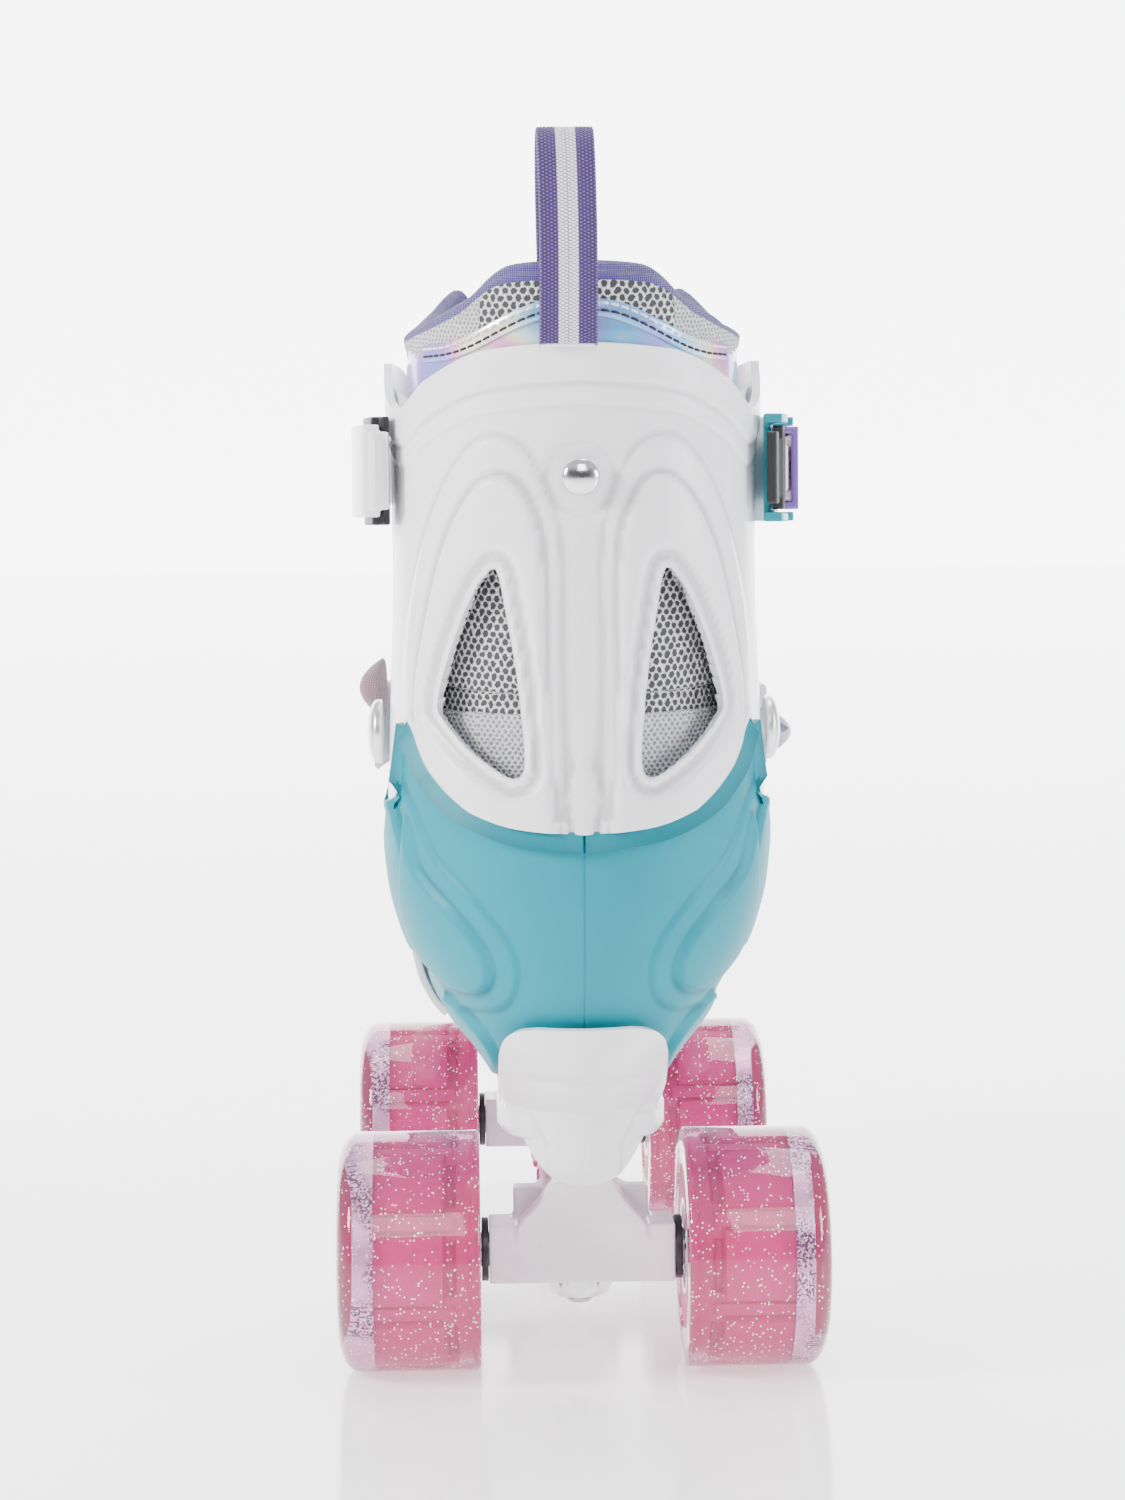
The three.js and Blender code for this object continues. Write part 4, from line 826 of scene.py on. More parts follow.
class BootForm:
    """The boot's outer surface, from which the cuff, shell, liner and toe are all made."""

    def __init__(self, sizes: Sizes) -> None:
        """Args: sizes are the shared sizes."""
        self.sizes = sizes
        self.heel = Profile(
            (61, 18), (66, 20), (73, 24.5), (80, 30), (90, 35.5), (100, 40.5),
            (112, 43.5), (125, 44.5), (150, 44), (180, 43), (215, 43.2), (250, 43.5),
        )
        self.foot = Profile(
            (12, 35), (60, 35), (90, 37.5), (115, 39), (135, 39.2), (160, 38.6),
            (180, 36), (194, 30.5), (203, 24), (209, 16.5), (sizes.toe_front, 9),
        )
        self.crown = Profile(
            (12, 178), (60, 165), (75, 151), (90, 139), (105, 129), (125, 118), (145, 112),
            (165, 108), (182, 103), (195, 97), (204, 90.5), (209, 84.5), (sizes.toe_front, 78),
        )
        self.sole = Profile((190, 62.2), (201, 63.4), (208, 66), (sizes.toe_front, 69.5))
        self.section = Profile(
            (0, 0.78), (0.08, 0.88), (0.2, 0.96), (0.36, 1), (0.55, 0.95), (0.72, 0.83),
            (0.86, 0.63), (0.95, 0.38), (1, 0.1),
        )
        self.spine = Profile(
            (61, -20), (66, -25), (74, -30), (85, -34.5), (97, -38.5), (112, -40.8), (130, -41.2),
            (150, -40.8), (180, -38.2), (210, -35.6), (224, -35), (232, -35.8), (250, -35),
        )
        self.shin = Profile(
            (61, 130), (110, 104), (130, 88), (150, 75), (170, 66), (200, 61), (250, 60),
        )

    def fore_width(self, y: Array, z: Array) -> Array:
        """Returns the forefoot's half width at a point of the side view."""
        bottom = self.sole(y)
        return self.foot(y) * self.section(np.clip((z - bottom) / (self.crown(y) - bottom), 0, 1))

    def side_width(self, y: Array, z: Array) -> Array:
        """Returns the boot's half width ahead of the ankle at a point of the side view."""
        low = mix(self.heel(z), self.fore_width(y, z), smoothstep(20, 110, y))
        reach = np.clip((y - self.sizes.leg_y) / (self.shin(z) - self.sizes.leg_y), 0, 0.999)
        leg = self.heel(z) * np.sqrt(1 - reach**2)
        return mix(low, leg, smoothstep(112, 148, z))

    def point(self, station: Array, z: Array, inset: Array, end: Array) -> Array:
        """Returns points on the surface.

        Args:
            station: 0 mid-heel, +-0.5 the widest part of the ankle, +-1 at y = end.
            z: height.
            inset: distance inside the surface.
            end: the y of station +-1.
        """
        station, z, inset, end = np.broadcast_arrays(
            *(np.asarray(v, float) for v in (station, z, inset, end))
        )
        side, s = np.where(station < 0, -1.0, 1.0), np.abs(station)
        angle = np.minimum(s, 0.5) * math.pi
        leg = self.sizes.leg_y
        depth = leg - self.spine(z) - inset
        y_front = leg + (end - leg) * np.maximum(s - 0.5, 0) * 2
        rear = s <= 0.5
        x = np.where(rear, (self.heel(z) - inset) * np.sin(angle), self.side_width(y_front, z) - inset)
        y = np.where(rear, leg - depth * np.cos(angle), y_front)
        return np.stack([side * x, y, z], -1)

    def leg_ring(self, angle: Array, z: Array, inset: Array) -> Array:
        """Returns points round the leg; angle 0 is the spine and pi the shin."""
        half = self.heel(z) - inset
        leg = self.sizes.leg_y
        reach = np.where(np.cos(angle) > 0, leg - self.spine(z) - inset, self.shin(z) - leg - inset)
        return np.stack([half * np.sin(angle), leg - reach * np.cos(angle), z + 0 * angle], -1)


FORM = BootForm(SIZES)


def normals(points: Array) -> Array:
    """Returns unit normals of a grid of points, out of the side that columns x rows turn to."""
    du = np.gradient(points, axis=0)
    dv = np.gradient(points, axis=1)
    n = np.cross(du, dv)
    return n / np.maximum(np.linalg.norm(n, axis=2), 1e-9)[..., None]


def ridge(distance: Array, half: float) -> Array:
    """Returns a soft ridge of height 1 where distance is 0, falling to 0 at half."""
    return 1 - smoothstep(0, half, np.abs(distance))


def fold_shade(height: Array) -> Array:
    """Returns 1 in the foot of each step of an embossed sheet and 0 on its flats and crests, where the
    materials paint shade.
    """
    near = height.copy()
    for _ in range(6):
        near[1:-1] = near[1:-1] / 2 + (near[2:] + near[:-2]) / 4
        near[:, 1:-1] = near[:, 1:-1] / 2 + (near[:, 2:] + near[:, :-2]) / 4
    return smoothstep(0.02, 0.22, near - height).ravel()


def edge_distance(outline: Array, x: Array, z: Array) -> Array:
    """Returns the signed distance from points to a closed outline, negative inside."""
    p = np.stack([x, z], -1)[..., None, :]
    a, b = outline, np.roll(outline, -1, 0)
    ab = b - a
    t = np.clip(((p - a) * ab).sum(-1) / (ab * ab).sum(-1), 0, 1)
    gap = np.linalg.norm(p - a - t[..., None] * ab, axis=-1).min(-1)
    crosses = ((a[:, 1] > p[..., 1]) != (b[:, 1] > p[..., 1])) & (
        p[..., 0] < ab[:, 0] * (p[..., 1] - a[:, 1]) / np.where(ab[:, 1] == 0, 1e-9, ab[:, 1]) + a[:, 0]
    )
    return np.where(crosses.sum(-1) % 2 == 1, -gap, gap)


def curve_through(points: Sequence[tuple[float, float]], count: int = 60, closed: bool = True) -> Array:
    """Returns a smooth 2D curve through points (Catmull-Rom)."""
    p = np.array(points, float)
    n = len(p)
    out = []
    spans = n if closed else n - 1
    for i in range(spans):
        index = [i - 1, i, i + 1, i + 2]
        p0, p1, p2, p3 = (p[k % n] if closed else p[min(max(k, 0), n - 1)] for k in index)
        for t in np.linspace(0, 1, max(2, count // spans), endpoint=False):
            out.append(
                0.5 * (2 * p1 + (p2 - p0) * t + (2 * p0 - 5 * p1 + 4 * p2 - p3) * t**2
                       + (3 * p1 - p0 - 3 * p2 + p3) * t**3)
            )
    if not closed:
        out.append(p[-1])
    return np.array(out)


# ---------------------------------------------------------------- cuff
@dataclass
class Cuff:
    """The white ankle cuff with its two teardrop vents, embossed arches and rivets."""

    form: BootForm
    columns: int = 300
    rows: int = 150
    sunk: float = 1.9
    proud: float = 0.35

    def hem(self, station: Array) -> Array:
        """Returns the height of the cuff's lower edge."""
        sizes = self.form.sizes
        s = np.abs(station)
        back = Profile(
            (0, 125.6), (0.1, 126.8), (0.2, 131), (0.28, 138.5), (0.345, 148.5), (0.385, 133), (0.42, 130),
        )(s)
        y = sizes.leg_y + (sizes.cuff_front - sizes.leg_y) * (s - 0.5) * 2
        along = y - sizes.ankle_y
        ear = sizes.ankle_z - np.sqrt(np.maximum(0, sizes.ear**2 - along**2))
        front = np.where(along <= 0, sizes.ankle_z - sizes.ear, ear)
        front = np.where(along >= sizes.ear, sizes.ankle_z + (along - sizes.ear) * 1.35, front)
        return np.where(s <= 0.5, back, front)

    def rim(self, station: Array) -> Array:
        """Returns the height of the cuff's upper edge."""
        return Profile(
            (0, 230), (0.15, 228.6), (0.28, 223), (0.375, 217), (0.45, 220), (0.53, 228),
            (0.7, 227.5), (0.86, 223), (1, 212),
        )(np.abs(station))

    def vent(self) -> Array:
        """Returns the right-hand vent's outline as seen from behind."""
        return curve_through(
            [(19.2, 182), (23.5, 176), (28, 165), (31, 153.5), (29.6, 149.3), (24, 143.2), (17.5, 138.6),
             (14.4, 137.6), (12.7, 139.6), (12.7, 146), (14.2, 161), (16.4, 174), (17.6, 180.5)],
            110,
        )

    def relief(self, x: Array, z: Array, along: Array) -> tuple[Array, Array]:
        """Returns the height of the embossing in millimetres and where the plastic is grained.

        Args:
            x, z: the place as seen from behind.
            along: distance below the rim.
        """
        ax = np.abs(x)
        vent = edge_distance(self.vent(), ax, z)
        behind = smoothstep(42, 38, ax)
        # the arch that runs from the spine over each vent and down its outer side
        arch = edge_distance(
            curve_through(
                [(7.2, 122), (7.6, 140), (8.4, 160), (8.4, 176), (9.5, 190), (14, 200), (21, 201),
                 (28.5, 190), (33.5, 172), (36.5, 152), (34, 140), (22, 128)],
                90,
            ),
            ax, z,
        )
        outer_arch = edge_distance(
            curve_through(
                [(4.6, 118), (5.2, 140), (5.4, 165), (5.4, 186), (8, 198), (14, 208), (23, 209),
                 (32, 196), (38, 175), (41, 150), (40, 138), (22, 120)],
                90,
            ),
            ax, z,
        )
        height = 1.5 * smoothstep(0.9, -0.9, arch) * behind
        height += 0.75 * smoothstep(1.0, -0.8, outer_arch) * behind
        height -= 1.5 * smoothstep(5.4, 2.4, vent)
        height += 0.9 * ridge(vent - 0.9, 1.3)
        # rim bead with a soft step under it
        height += 0.7 * smoothstep(8.6, 7.0, along) + 0.5 * smoothstep(13.5, 11.5, along)
        # keel that ends in a diamond at the hem
        keel = smoothstep(3.4, 0.2, ax) * smoothstep(160, 135, z)
        diamond = smoothstep(0, -1.6, ax + np.abs(z - 133) * 0.42 - 5.2)
        height += 0.5 * keel + 0.5 * diamond
        height -= 0.22 * ridge(ax, 0.55) * smoothstep(185, 178, z)
        # dish round the rear rivet
        ring = np.hypot(x, z - self.form.sizes.rear_rivet_z)
        height -= 0.35 * smoothstep(9.5, 7.5, ring)
        grain = smoothstep(-0.4, 0.6, outer_arch) * smoothstep(13, 14.5, along) * smoothstep(36, 33, ax)
        return height, grain

    def surface(self) -> Shape:
        """Returns the embossed outer sheet with its vents open."""
        station = np.linspace(-1, 1, self.columns)
        t = np.linspace(0, 1, self.rows)
        low, high = self.hem(station)[:, None], self.rim(station)[:, None]
        z = low + (high - low) * t[None, :]
        front = self.form.sizes.cuff_front - 8 * smoothstep(165, 225, z)
        points = self.form.point(station[:, None] + 0 * z, z, 0, front)
        rear = np.abs(station)[:, None] <= 0.47
        x, zz = points[..., 0], points[..., 2]
        height, grain = self.relief(x, zz, (high - zz) * np.ones_like(x))
        height = np.where(rear, height, height * 0)
        side = ~rear
        along_top, along_low = high - zz, zz - low
        height += np.where(side, 1.2 * smoothstep(7.5, 6, along_top), 0)
        height += 0.35 * smoothstep(3.2, 2.2, along_low)
        height -= self.sunk  # the sheet lies inside the form, and the embossing comes up to it
        out = facing_out(normals(points), points, (0, 12, 0))
        flush = np.minimum(height, self.proud)
        raised = points + out * flush[..., None]
        shape = grid_shape(raised)
        # the fold mask is painted shade in the embossing's folds
        shape.masks = {"grain": np.where(rear, grain, smoothstep(9, 10.5, along_top)).ravel(),
                       "fold": fold_shade(flush)}
        return self.open_vents(shape)

    def open_vents(self, shape: Shape) -> Shape:
        """Removes the faces inside the vents and draws the ones at their edge onto the outline."""
        outline = self.vent()
        x, z = shape.verts[:, 0], shape.verts[:, 2]
        behind = shape.verts[:, 1] < 12
        distance = np.full(len(x), 9.0)
        near = behind & (z > 130) & (z < 190)
        distance[near] = edge_distance(outline, np.abs(x[near]), z[near])
        step = 0.05
        faces = np.array(shape.faces)
        inside = (distance[faces].mean(1) < 0)
        kept = faces[~inside]
        border = np.intersect1d(np.unique(kept), np.unique(faces[inside]))
        ax, az = np.abs(x[border]), z[border]
        for _ in range(3):
            d = edge_distance(outline, ax, az)
            gx = (edge_distance(outline, ax + step, az) - edge_distance(outline, ax - step, az)) / (2 * step)
            gz = (edge_distance(outline, ax, az + step) - edge_distance(outline, ax, az - step)) / (2 * step)
            ax, az = ax - d * gx, az - d * gz
        moved = shape.verts.copy()
        moved[border, 0], moved[border, 2] = np.sign(x[border]) * ax, az
        return Shape(moved, kept.tolist(), shape.uv, shape.masks)

    def rivet(self, name: str, skin: Vector, axis: str, radius: float, dome: float) -> Object:
        """Returns a domed rivet head on a washer, standing on a point of the skin."""
        steps = [(radius * math.cos(a), 0.5 + dome * math.sin(a)) for a in np.linspace(0.12, math.pi / 2, 12)]
        profile = [(0, -0.6), (radius - 0.4, -0.6), (radius, -0.2), *steps]
        shape = lathe(profile, 56, ends=True)
        turn = {"+x": Matrix.Identity(3), "-x": Matrix.Rotation(math.pi, 3, "Z"),
                "-y": Matrix.Rotation(-math.pi / 2, 3, "Z")}[axis]
        return build(name, shape.turned(turn).moved(skin))

    def make(self) -> None:
        """Builds the cuff and its rivets."""
        wall = thicken(build("cuff_moulding", self.surface(), 60), 1.9, 0.55)
        finish_piece(wall, "cuff", "white_plastic", Look.WHITE_GRAINED, stands_for=["cuff"])
        station = np.linspace(-0.31, 0.31, 60)[:, None]
        z = np.linspace(136, 156, 18)[None, :] + 0 * station
        skirt = thicken(build("vent_mesh", grid_shape(self.form.point(station, z, 7.0, 40.0))), 0.5, 0.1)
        finish_piece(skirt, "cuff", "spacer_mesh", Look.HOLES)
        declare_sheet(skirt, 20.0)
        sizes = self.form.sizes
        skin = Vector((0, float(self.form.spine(sizes.rear_rivet_z)) - 0.1, sizes.rear_rivet_z))
        rear = self.rivet("rear_rivet_head", skin, "-y", 4.1, 2.0)
        finish_piece(rear, "cuff", "chrome", Look.CHROME, stands_for=["rear_rivet"])
        width = float(self.form.side_width(sizes.ankle_y, sizes.ankle_z))
        for hand, side in (("left", -1), ("right", 1)):
            skin = Vector((side * (width + 0.9), sizes.ankle_y, sizes.ankle_z))
            head = self.rivet(f"ankle_rivet_{hand}_head", skin, "+x" if side > 0 else "-x", 7.4, 2.4)
            finish_piece(head, "boot", "chrome", Look.SATIN_STEEL, stands_for=[f"ankle_rivet_{hand}"])


# ---------------------------------------------------------------- heel shell
@dataclass
class HeelShell:
    """The teal lower shell with its raised leaf-shaped lobes and claws."""

    form: BootForm
    cuff: Cuff
    rows: int = 110

    def top(self, y: Array) -> Array:
        """Returns the height of the shell's inner upper edge along the skate."""
        sizes = self.form.sizes
        return Profile(
            (-41, 134), (-38, 135), (-32.4, 139.5), (-25.6, 145), (-18, 149.5), (-8, 151.5),
            (0, 152.5), (sizes.ankle_y, 157), (30, 151), (36, 141.5), (42, 142), (60, 128),
            (85, 104), (sizes.cap_start, 87), (sizes.shell_front, 80),
        )(y)

    def lip(self, station: Array, y: Array) -> Array:
        """Returns the height at which the shell steps in under the cuff."""
        sizes = self.form.sizes
        reach, along = sizes.ear + 1.2, y - sizes.ankle_y
        circle = sizes.ankle_z - np.sqrt(np.maximum(0, reach**2 - along**2))
        ahead = np.where(along <= 0, sizes.ankle_z - reach, circle)
        ahead = np.minimum(ahead, sizes.ankle_z - 4.5 + 0.85 * np.maximum(0, along - reach))
        hem = np.where(np.abs(station) > 0.5, ahead, self.cuff.hem(station) - 0.25)
        return np.minimum(hem, self.top(y) - 1)

    def relief(self, x: Array, z: Array) -> Array:
        """Returns the height of the lobes in millimetres at a place seen from behind."""
        ax = np.abs(x)
        leaf = curve_through(
            [(39.5, 127), (36, 116), (29, 108.5), (22.5, 101), (20.2, 94.5), (22.5, 89.5),
             (29, 88.6), (34.5, 91.5), (38.5, 97), (41.5, 108)],
            80,
        )
        halo = curve_through(
            [(41, 133), (33, 119), (24, 110), (16.5, 100), (15.5, 92), (19, 86), (28, 84.5),
             (36, 87.5), (41, 95), (43.5, 112)],
            80,
        )
        lobe = curve_through(
            [(43.5, 130), (40.5, 126), (38.3, 116), (36.8, 104), (37.2, 94.5), (39, 92), (42, 98), (45, 112)],
            70,
        )
        claw = curve_through(
            [(31.5, 84.5), (30.2, 79), (25.5, 74.5), (21.6, 67), (19.4, 66), (19.5, 72), (22.5, 78.5),
             (27.8, 84.2), (30, 86.4)],
            60,
        )
        inside = [edge_distance(c, ax, z) for c in (leaf, halo, lobe, claw)]
        height = 1.4 * smoothstep(0.7, -1.7, inside[0]) + 0.6 * smoothstep(0.8, -0.8, inside[1])
        height = np.maximum(height, 1.9 * smoothstep(0.7, -1.2, inside[2]))
        height += 1.7 * smoothstep(0.7, -1.0, inside[3])
        crease = np.abs(ax - 28 - (z - 98) * 0.42)
        height += 0.35 * ridge(crease, 2.2) * smoothstep(1.0, -3.0, inside[0])
        return height - 0.18 * ridge(ax, 0.5)

    def wall(self) -> Shape:
        """Returns the outer sheet."""
        sizes = self.form.sizes
        behind = np.linspace(0, 0.5, 150)
        ahead = np.linspace(0.5, 1, 100)[1:]
        half = np.concatenate([behind, ahead])
        station = np.concatenate([-half[:0:-1], half])
        y = self.form.point(station, 130, 0, sizes.shell_front)[:, 1]
        lip, top = self.lip(station, y), self.top(y)
        low = 64.8
        t = np.linspace(0, 1, self.rows)
        main = low + (lip[:, None] - low) * t[None, :]
        tail = np.array([0.12, 0.3, 0.45, 1.0])
        above = lip[:, None] + 0.3 + (top - lip - 0.3)[:, None] * tail[None, :]
        heights = np.hstack([main, above])
        nose = smoothstep(sizes.cap_start - 2.5, sizes.cap_start, y)[:, None] * (sizes.cuff_wall + 1.1)
        rows = np.arange(heights.shape[1])
        step = np.where(rows[None, :] >= self.rows, 4.1, 0)
        inset = np.maximum(step, nose)
        points = self.form.point(station[:, None] + 0 * heights, heights, inset, sizes.shell_front)
        out = facing_out(normals(points), points, (0, 60, 100))
        x, zz = points[..., 0], points[..., 2]
        rear = smoothstep(0.52, 0.44, np.abs(station))[:, None]
        to_lip = lip[:, None] - zz
        height = self.relief(x, zz) * rear
        height = height + 0.45 * smoothstep(2.6, 1.5, to_lip) * smoothstep(-0.2, 0.3, to_lip)
        height -= 0.3 * ridge(to_lip, 0.6)
        side = (1 - rear) * smoothstep(sizes.cap_start, sizes.cap_start - 12, y)[:, None]
        height += 0.9 * side * smoothstep(4.6, 3.2, to_lip) * smoothstep(-0.2, 0.3, to_lip)
        height += 0.7 * side * smoothstep(76, 74, zz)
        height = np.where(rows[None, :] >= self.rows, 0, height - 1.7)
        height = np.minimum(height, 0.3)
        shape = grid_shape(points + out * height[..., None])
        # the fold mask is painted shade in the lobes' folds
        shape.masks = {"fold": fold_shade(height)}
        return shape

    def floor(self) -> Shape:
        """Returns the shell's flat sole."""
        sizes = self.form.sizes
        half = np.linspace(0, 1, 60)
        inset = np.where(half > 0.86, sizes.cuff_wall + 1.6, 1.2)
        edge = self.form.point(half, 65.2, inset, sizes.shell_front)
        outline = [(p[0], p[1]) for p in edge] + [(-p[0], p[1]) for p in edge[::-1]]
        return prism_shape(outline, 64.9, 66.8)

    def make(self) -> None:
        """Builds the shell."""
        wall = thicken(build("heel_shell_moulding", self.wall(), 50), 1.9, 0.4)
        finish_piece(wall, "boot", "teal_plastic", Look.TEAL_MOULDED, stands_for=["heel_shell"])
        sole = build("heel_shell_sole", self.floor())
        finish_piece(sole, "boot", "teal_plastic", Look.TEAL)


# ---------------------------------------------------------------- wheels
@dataclass
class Wheel:
    """One wheel: clear urethane tyre, pink core, foil ring, lights and two bearings."""

    end: str
    hand: str
    sizes: Sizes

    @property
    def side(self) -> int:
        """1 on the right and -1 on the left."""
        return 1 if self.hand == "right" else -1

    def placed(self, name: str, shape: Shape, sharp: float = 40.0) -> Object:
        """Builds a shape made about the X axis with x = 0 at the wheel's inner face."""
        y = 0.0 if self.end == "rear" else self.sizes.wheelbase
        moved = shape.moved((self.sizes.wheel_inner, 0, 0))
        if self.side < 0:
            moved = moved.mirrored()
        return build(f"{name}_{self.end}_{self.hand}", moved.moved((0, y, self.sizes.wheel_radius)), sharp)

    def finished(self, target: Object, slot: str, look: Look, *nodes: str) -> Object:
        """Paints a piece and fixes it to the wheel."""
        names = [f"{n}_{self.end}_{self.hand}" for n in nodes]
        return finish_piece(target, f"wheel_{self.end}_{self.hand}", slot, look, stands_for=names)

    def tyre(self) -> Shape:
        """Returns the tyre: flat tread, crisp inner edge, domed outer shoulder, deep recess for the core."""
        r, w = self.sizes.wheel_radius, self.sizes.wheel_width
        dome = [
            (r - 7.4 * (1 - math.sin(a)), w - 4.7 + 4.7 * math.cos(a))
            for a in np.linspace(math.pi / 2, 0.05, 12)
        ]
        inner_edge = [(r - 0.9, 0.0), (r - 0.25, 0.22), (r, 0.9)]
        bore = 15.4  # the urethane is cast round the core, so nothing shows between them
        outer_lip = [(19.2, w - 0.2), (18.8, w - 0.9)]
        inner_lip = [(18.8, 0.8), (19.3, 0.0)]
        return lathe([*inner_edge, *dome, *outer_lip, (bore, w - 1.2), (bore, 0.8), *inner_lip], 120)

    def core(self) -> Shape:
        """Returns the core: a ring with raised pads, cross bars and slots."""
        w = self.sizes.wheel_width
        angle = np.linspace(0, 2 * math.pi, 252, endpoint=False)[:, None]
        x = np.linspace(0.3, w - 0.7, 74)[None, :]
        phase = (angle * 6 / (2 * math.pi)) % 1
        arc = np.abs(phase - 0.5) * 2
        pad = smoothstep(0.80, 0.74, arc) * smoothstep(8.2, 8.7, x) * smoothstep(24.4, 23.9, x)
        bar = smoothstep(0.80, 0.84, arc) * smoothstep(6.2, 6.8, x) * smoothstep(26.4, 25.8, x)
        slot_x = np.minimum(np.abs(x - 7.2), np.abs(x - 25.2))
        slot = smoothstep(1.2, 0.8, slot_x) * smoothstep(0.62, 0.56, arc)
        radius = 17.1 + 1.9 * pad + 1.0 * bar - 1.6 * slot
        radius = radius + 1.6 * smoothstep(3.2, 2.6, x) + 1.6 * smoothstep(w - 3.6, w - 3.0, x)
        points = np.stack(
            [np.broadcast_to(x, radius.shape), radius * np.sin(angle), radius * np.cos(angle)], -1
        )
        outer = grid_shape(points, wrap=True)
        bore = [(18.6, 0.3), (11.15, 0.3), (11.15, 7.2), (9, 7.2), (9, 18.3), (11.15, 18.3), (11.15, 25.4),
                (12.6, 25.6), (16.4, w - 0.7), (18.6, w - 0.7)]
        inner = lathe(bore, 72, ends=True)
        return together([outer, inner])

    def bearing(self, start: float) -> Shape:
        """Returns one sealed bearing's races."""
        end = start + 7
        outer = lathe(rounded([(9.7, start), (11, start), (11, end), (9.7, end)], 0.3), 56)
        inner = lathe(rounded([(4.1, start), (5.5, start), (5.5, end), (4.1, end)], 0.25), 40)
        return together([outer, inner])

    def make(self) -> None:
        """Builds the wheel."""
        w = self.sizes.wheel_width
        tyre = self.placed("tyre_cast", self.tyre(), 60)
        self.finished(tyre, "glitter_urethane", Look.TYRE, "tyre")
        self.finished(self.placed("core", self.core(), 50), "pink_plastic", Look.CORE, "hub")
        edges = [(20.6, w - 8.2), (20.9, w - 8.2), (20.9, w - 4.2), (20.6, w - 4.2)]
        foil = lathe(rounded(edges, 0.1, 1), 96)
        self.finished(self.placed("foil_ring", foil), "steel", Look.FOIL)
        for start, name in ((0.2, "inner"), (18.4, "outer")):
            races = self.placed(f"bearing_{name}_races", self.bearing(start))
            self.finished(races, "steel", Look.CHROME, f"bearing_{name}")
            ring = [(5.5, start + 0.5), (9.7, start + 0.35), (9.7, start + 6.6), (5.5, start + 6.5)]
            seal = self.placed(f"bearing_{name}_seal", lathe(ring, 48))
            self.finished(seal, "black_plastic", Look.BLACK)
        lights = []
        for k in range(2):
            dome = [(0, -0.6), (1.5, -0.6), (1.5, 0.5), *((1.5 * math.cos(a), 0.5 + 1.3 * math.sin(a))
                                                         for a in np.linspace(0.2, math.pi / 2, 6))]
            lamp = lathe(dome, 16, ends=True).turned(Matrix.Rotation(-math.pi / 2, 3, "Y"))
            spun = Matrix.Rotation(math.pi * k + math.radians(168), 3, "X")
            lights.append(lamp.moved((w / 2, 0, 17.2)).turned(spun))
        self.finished(self.placed("lights", together(lights)), "chrome", Look.CHROME)


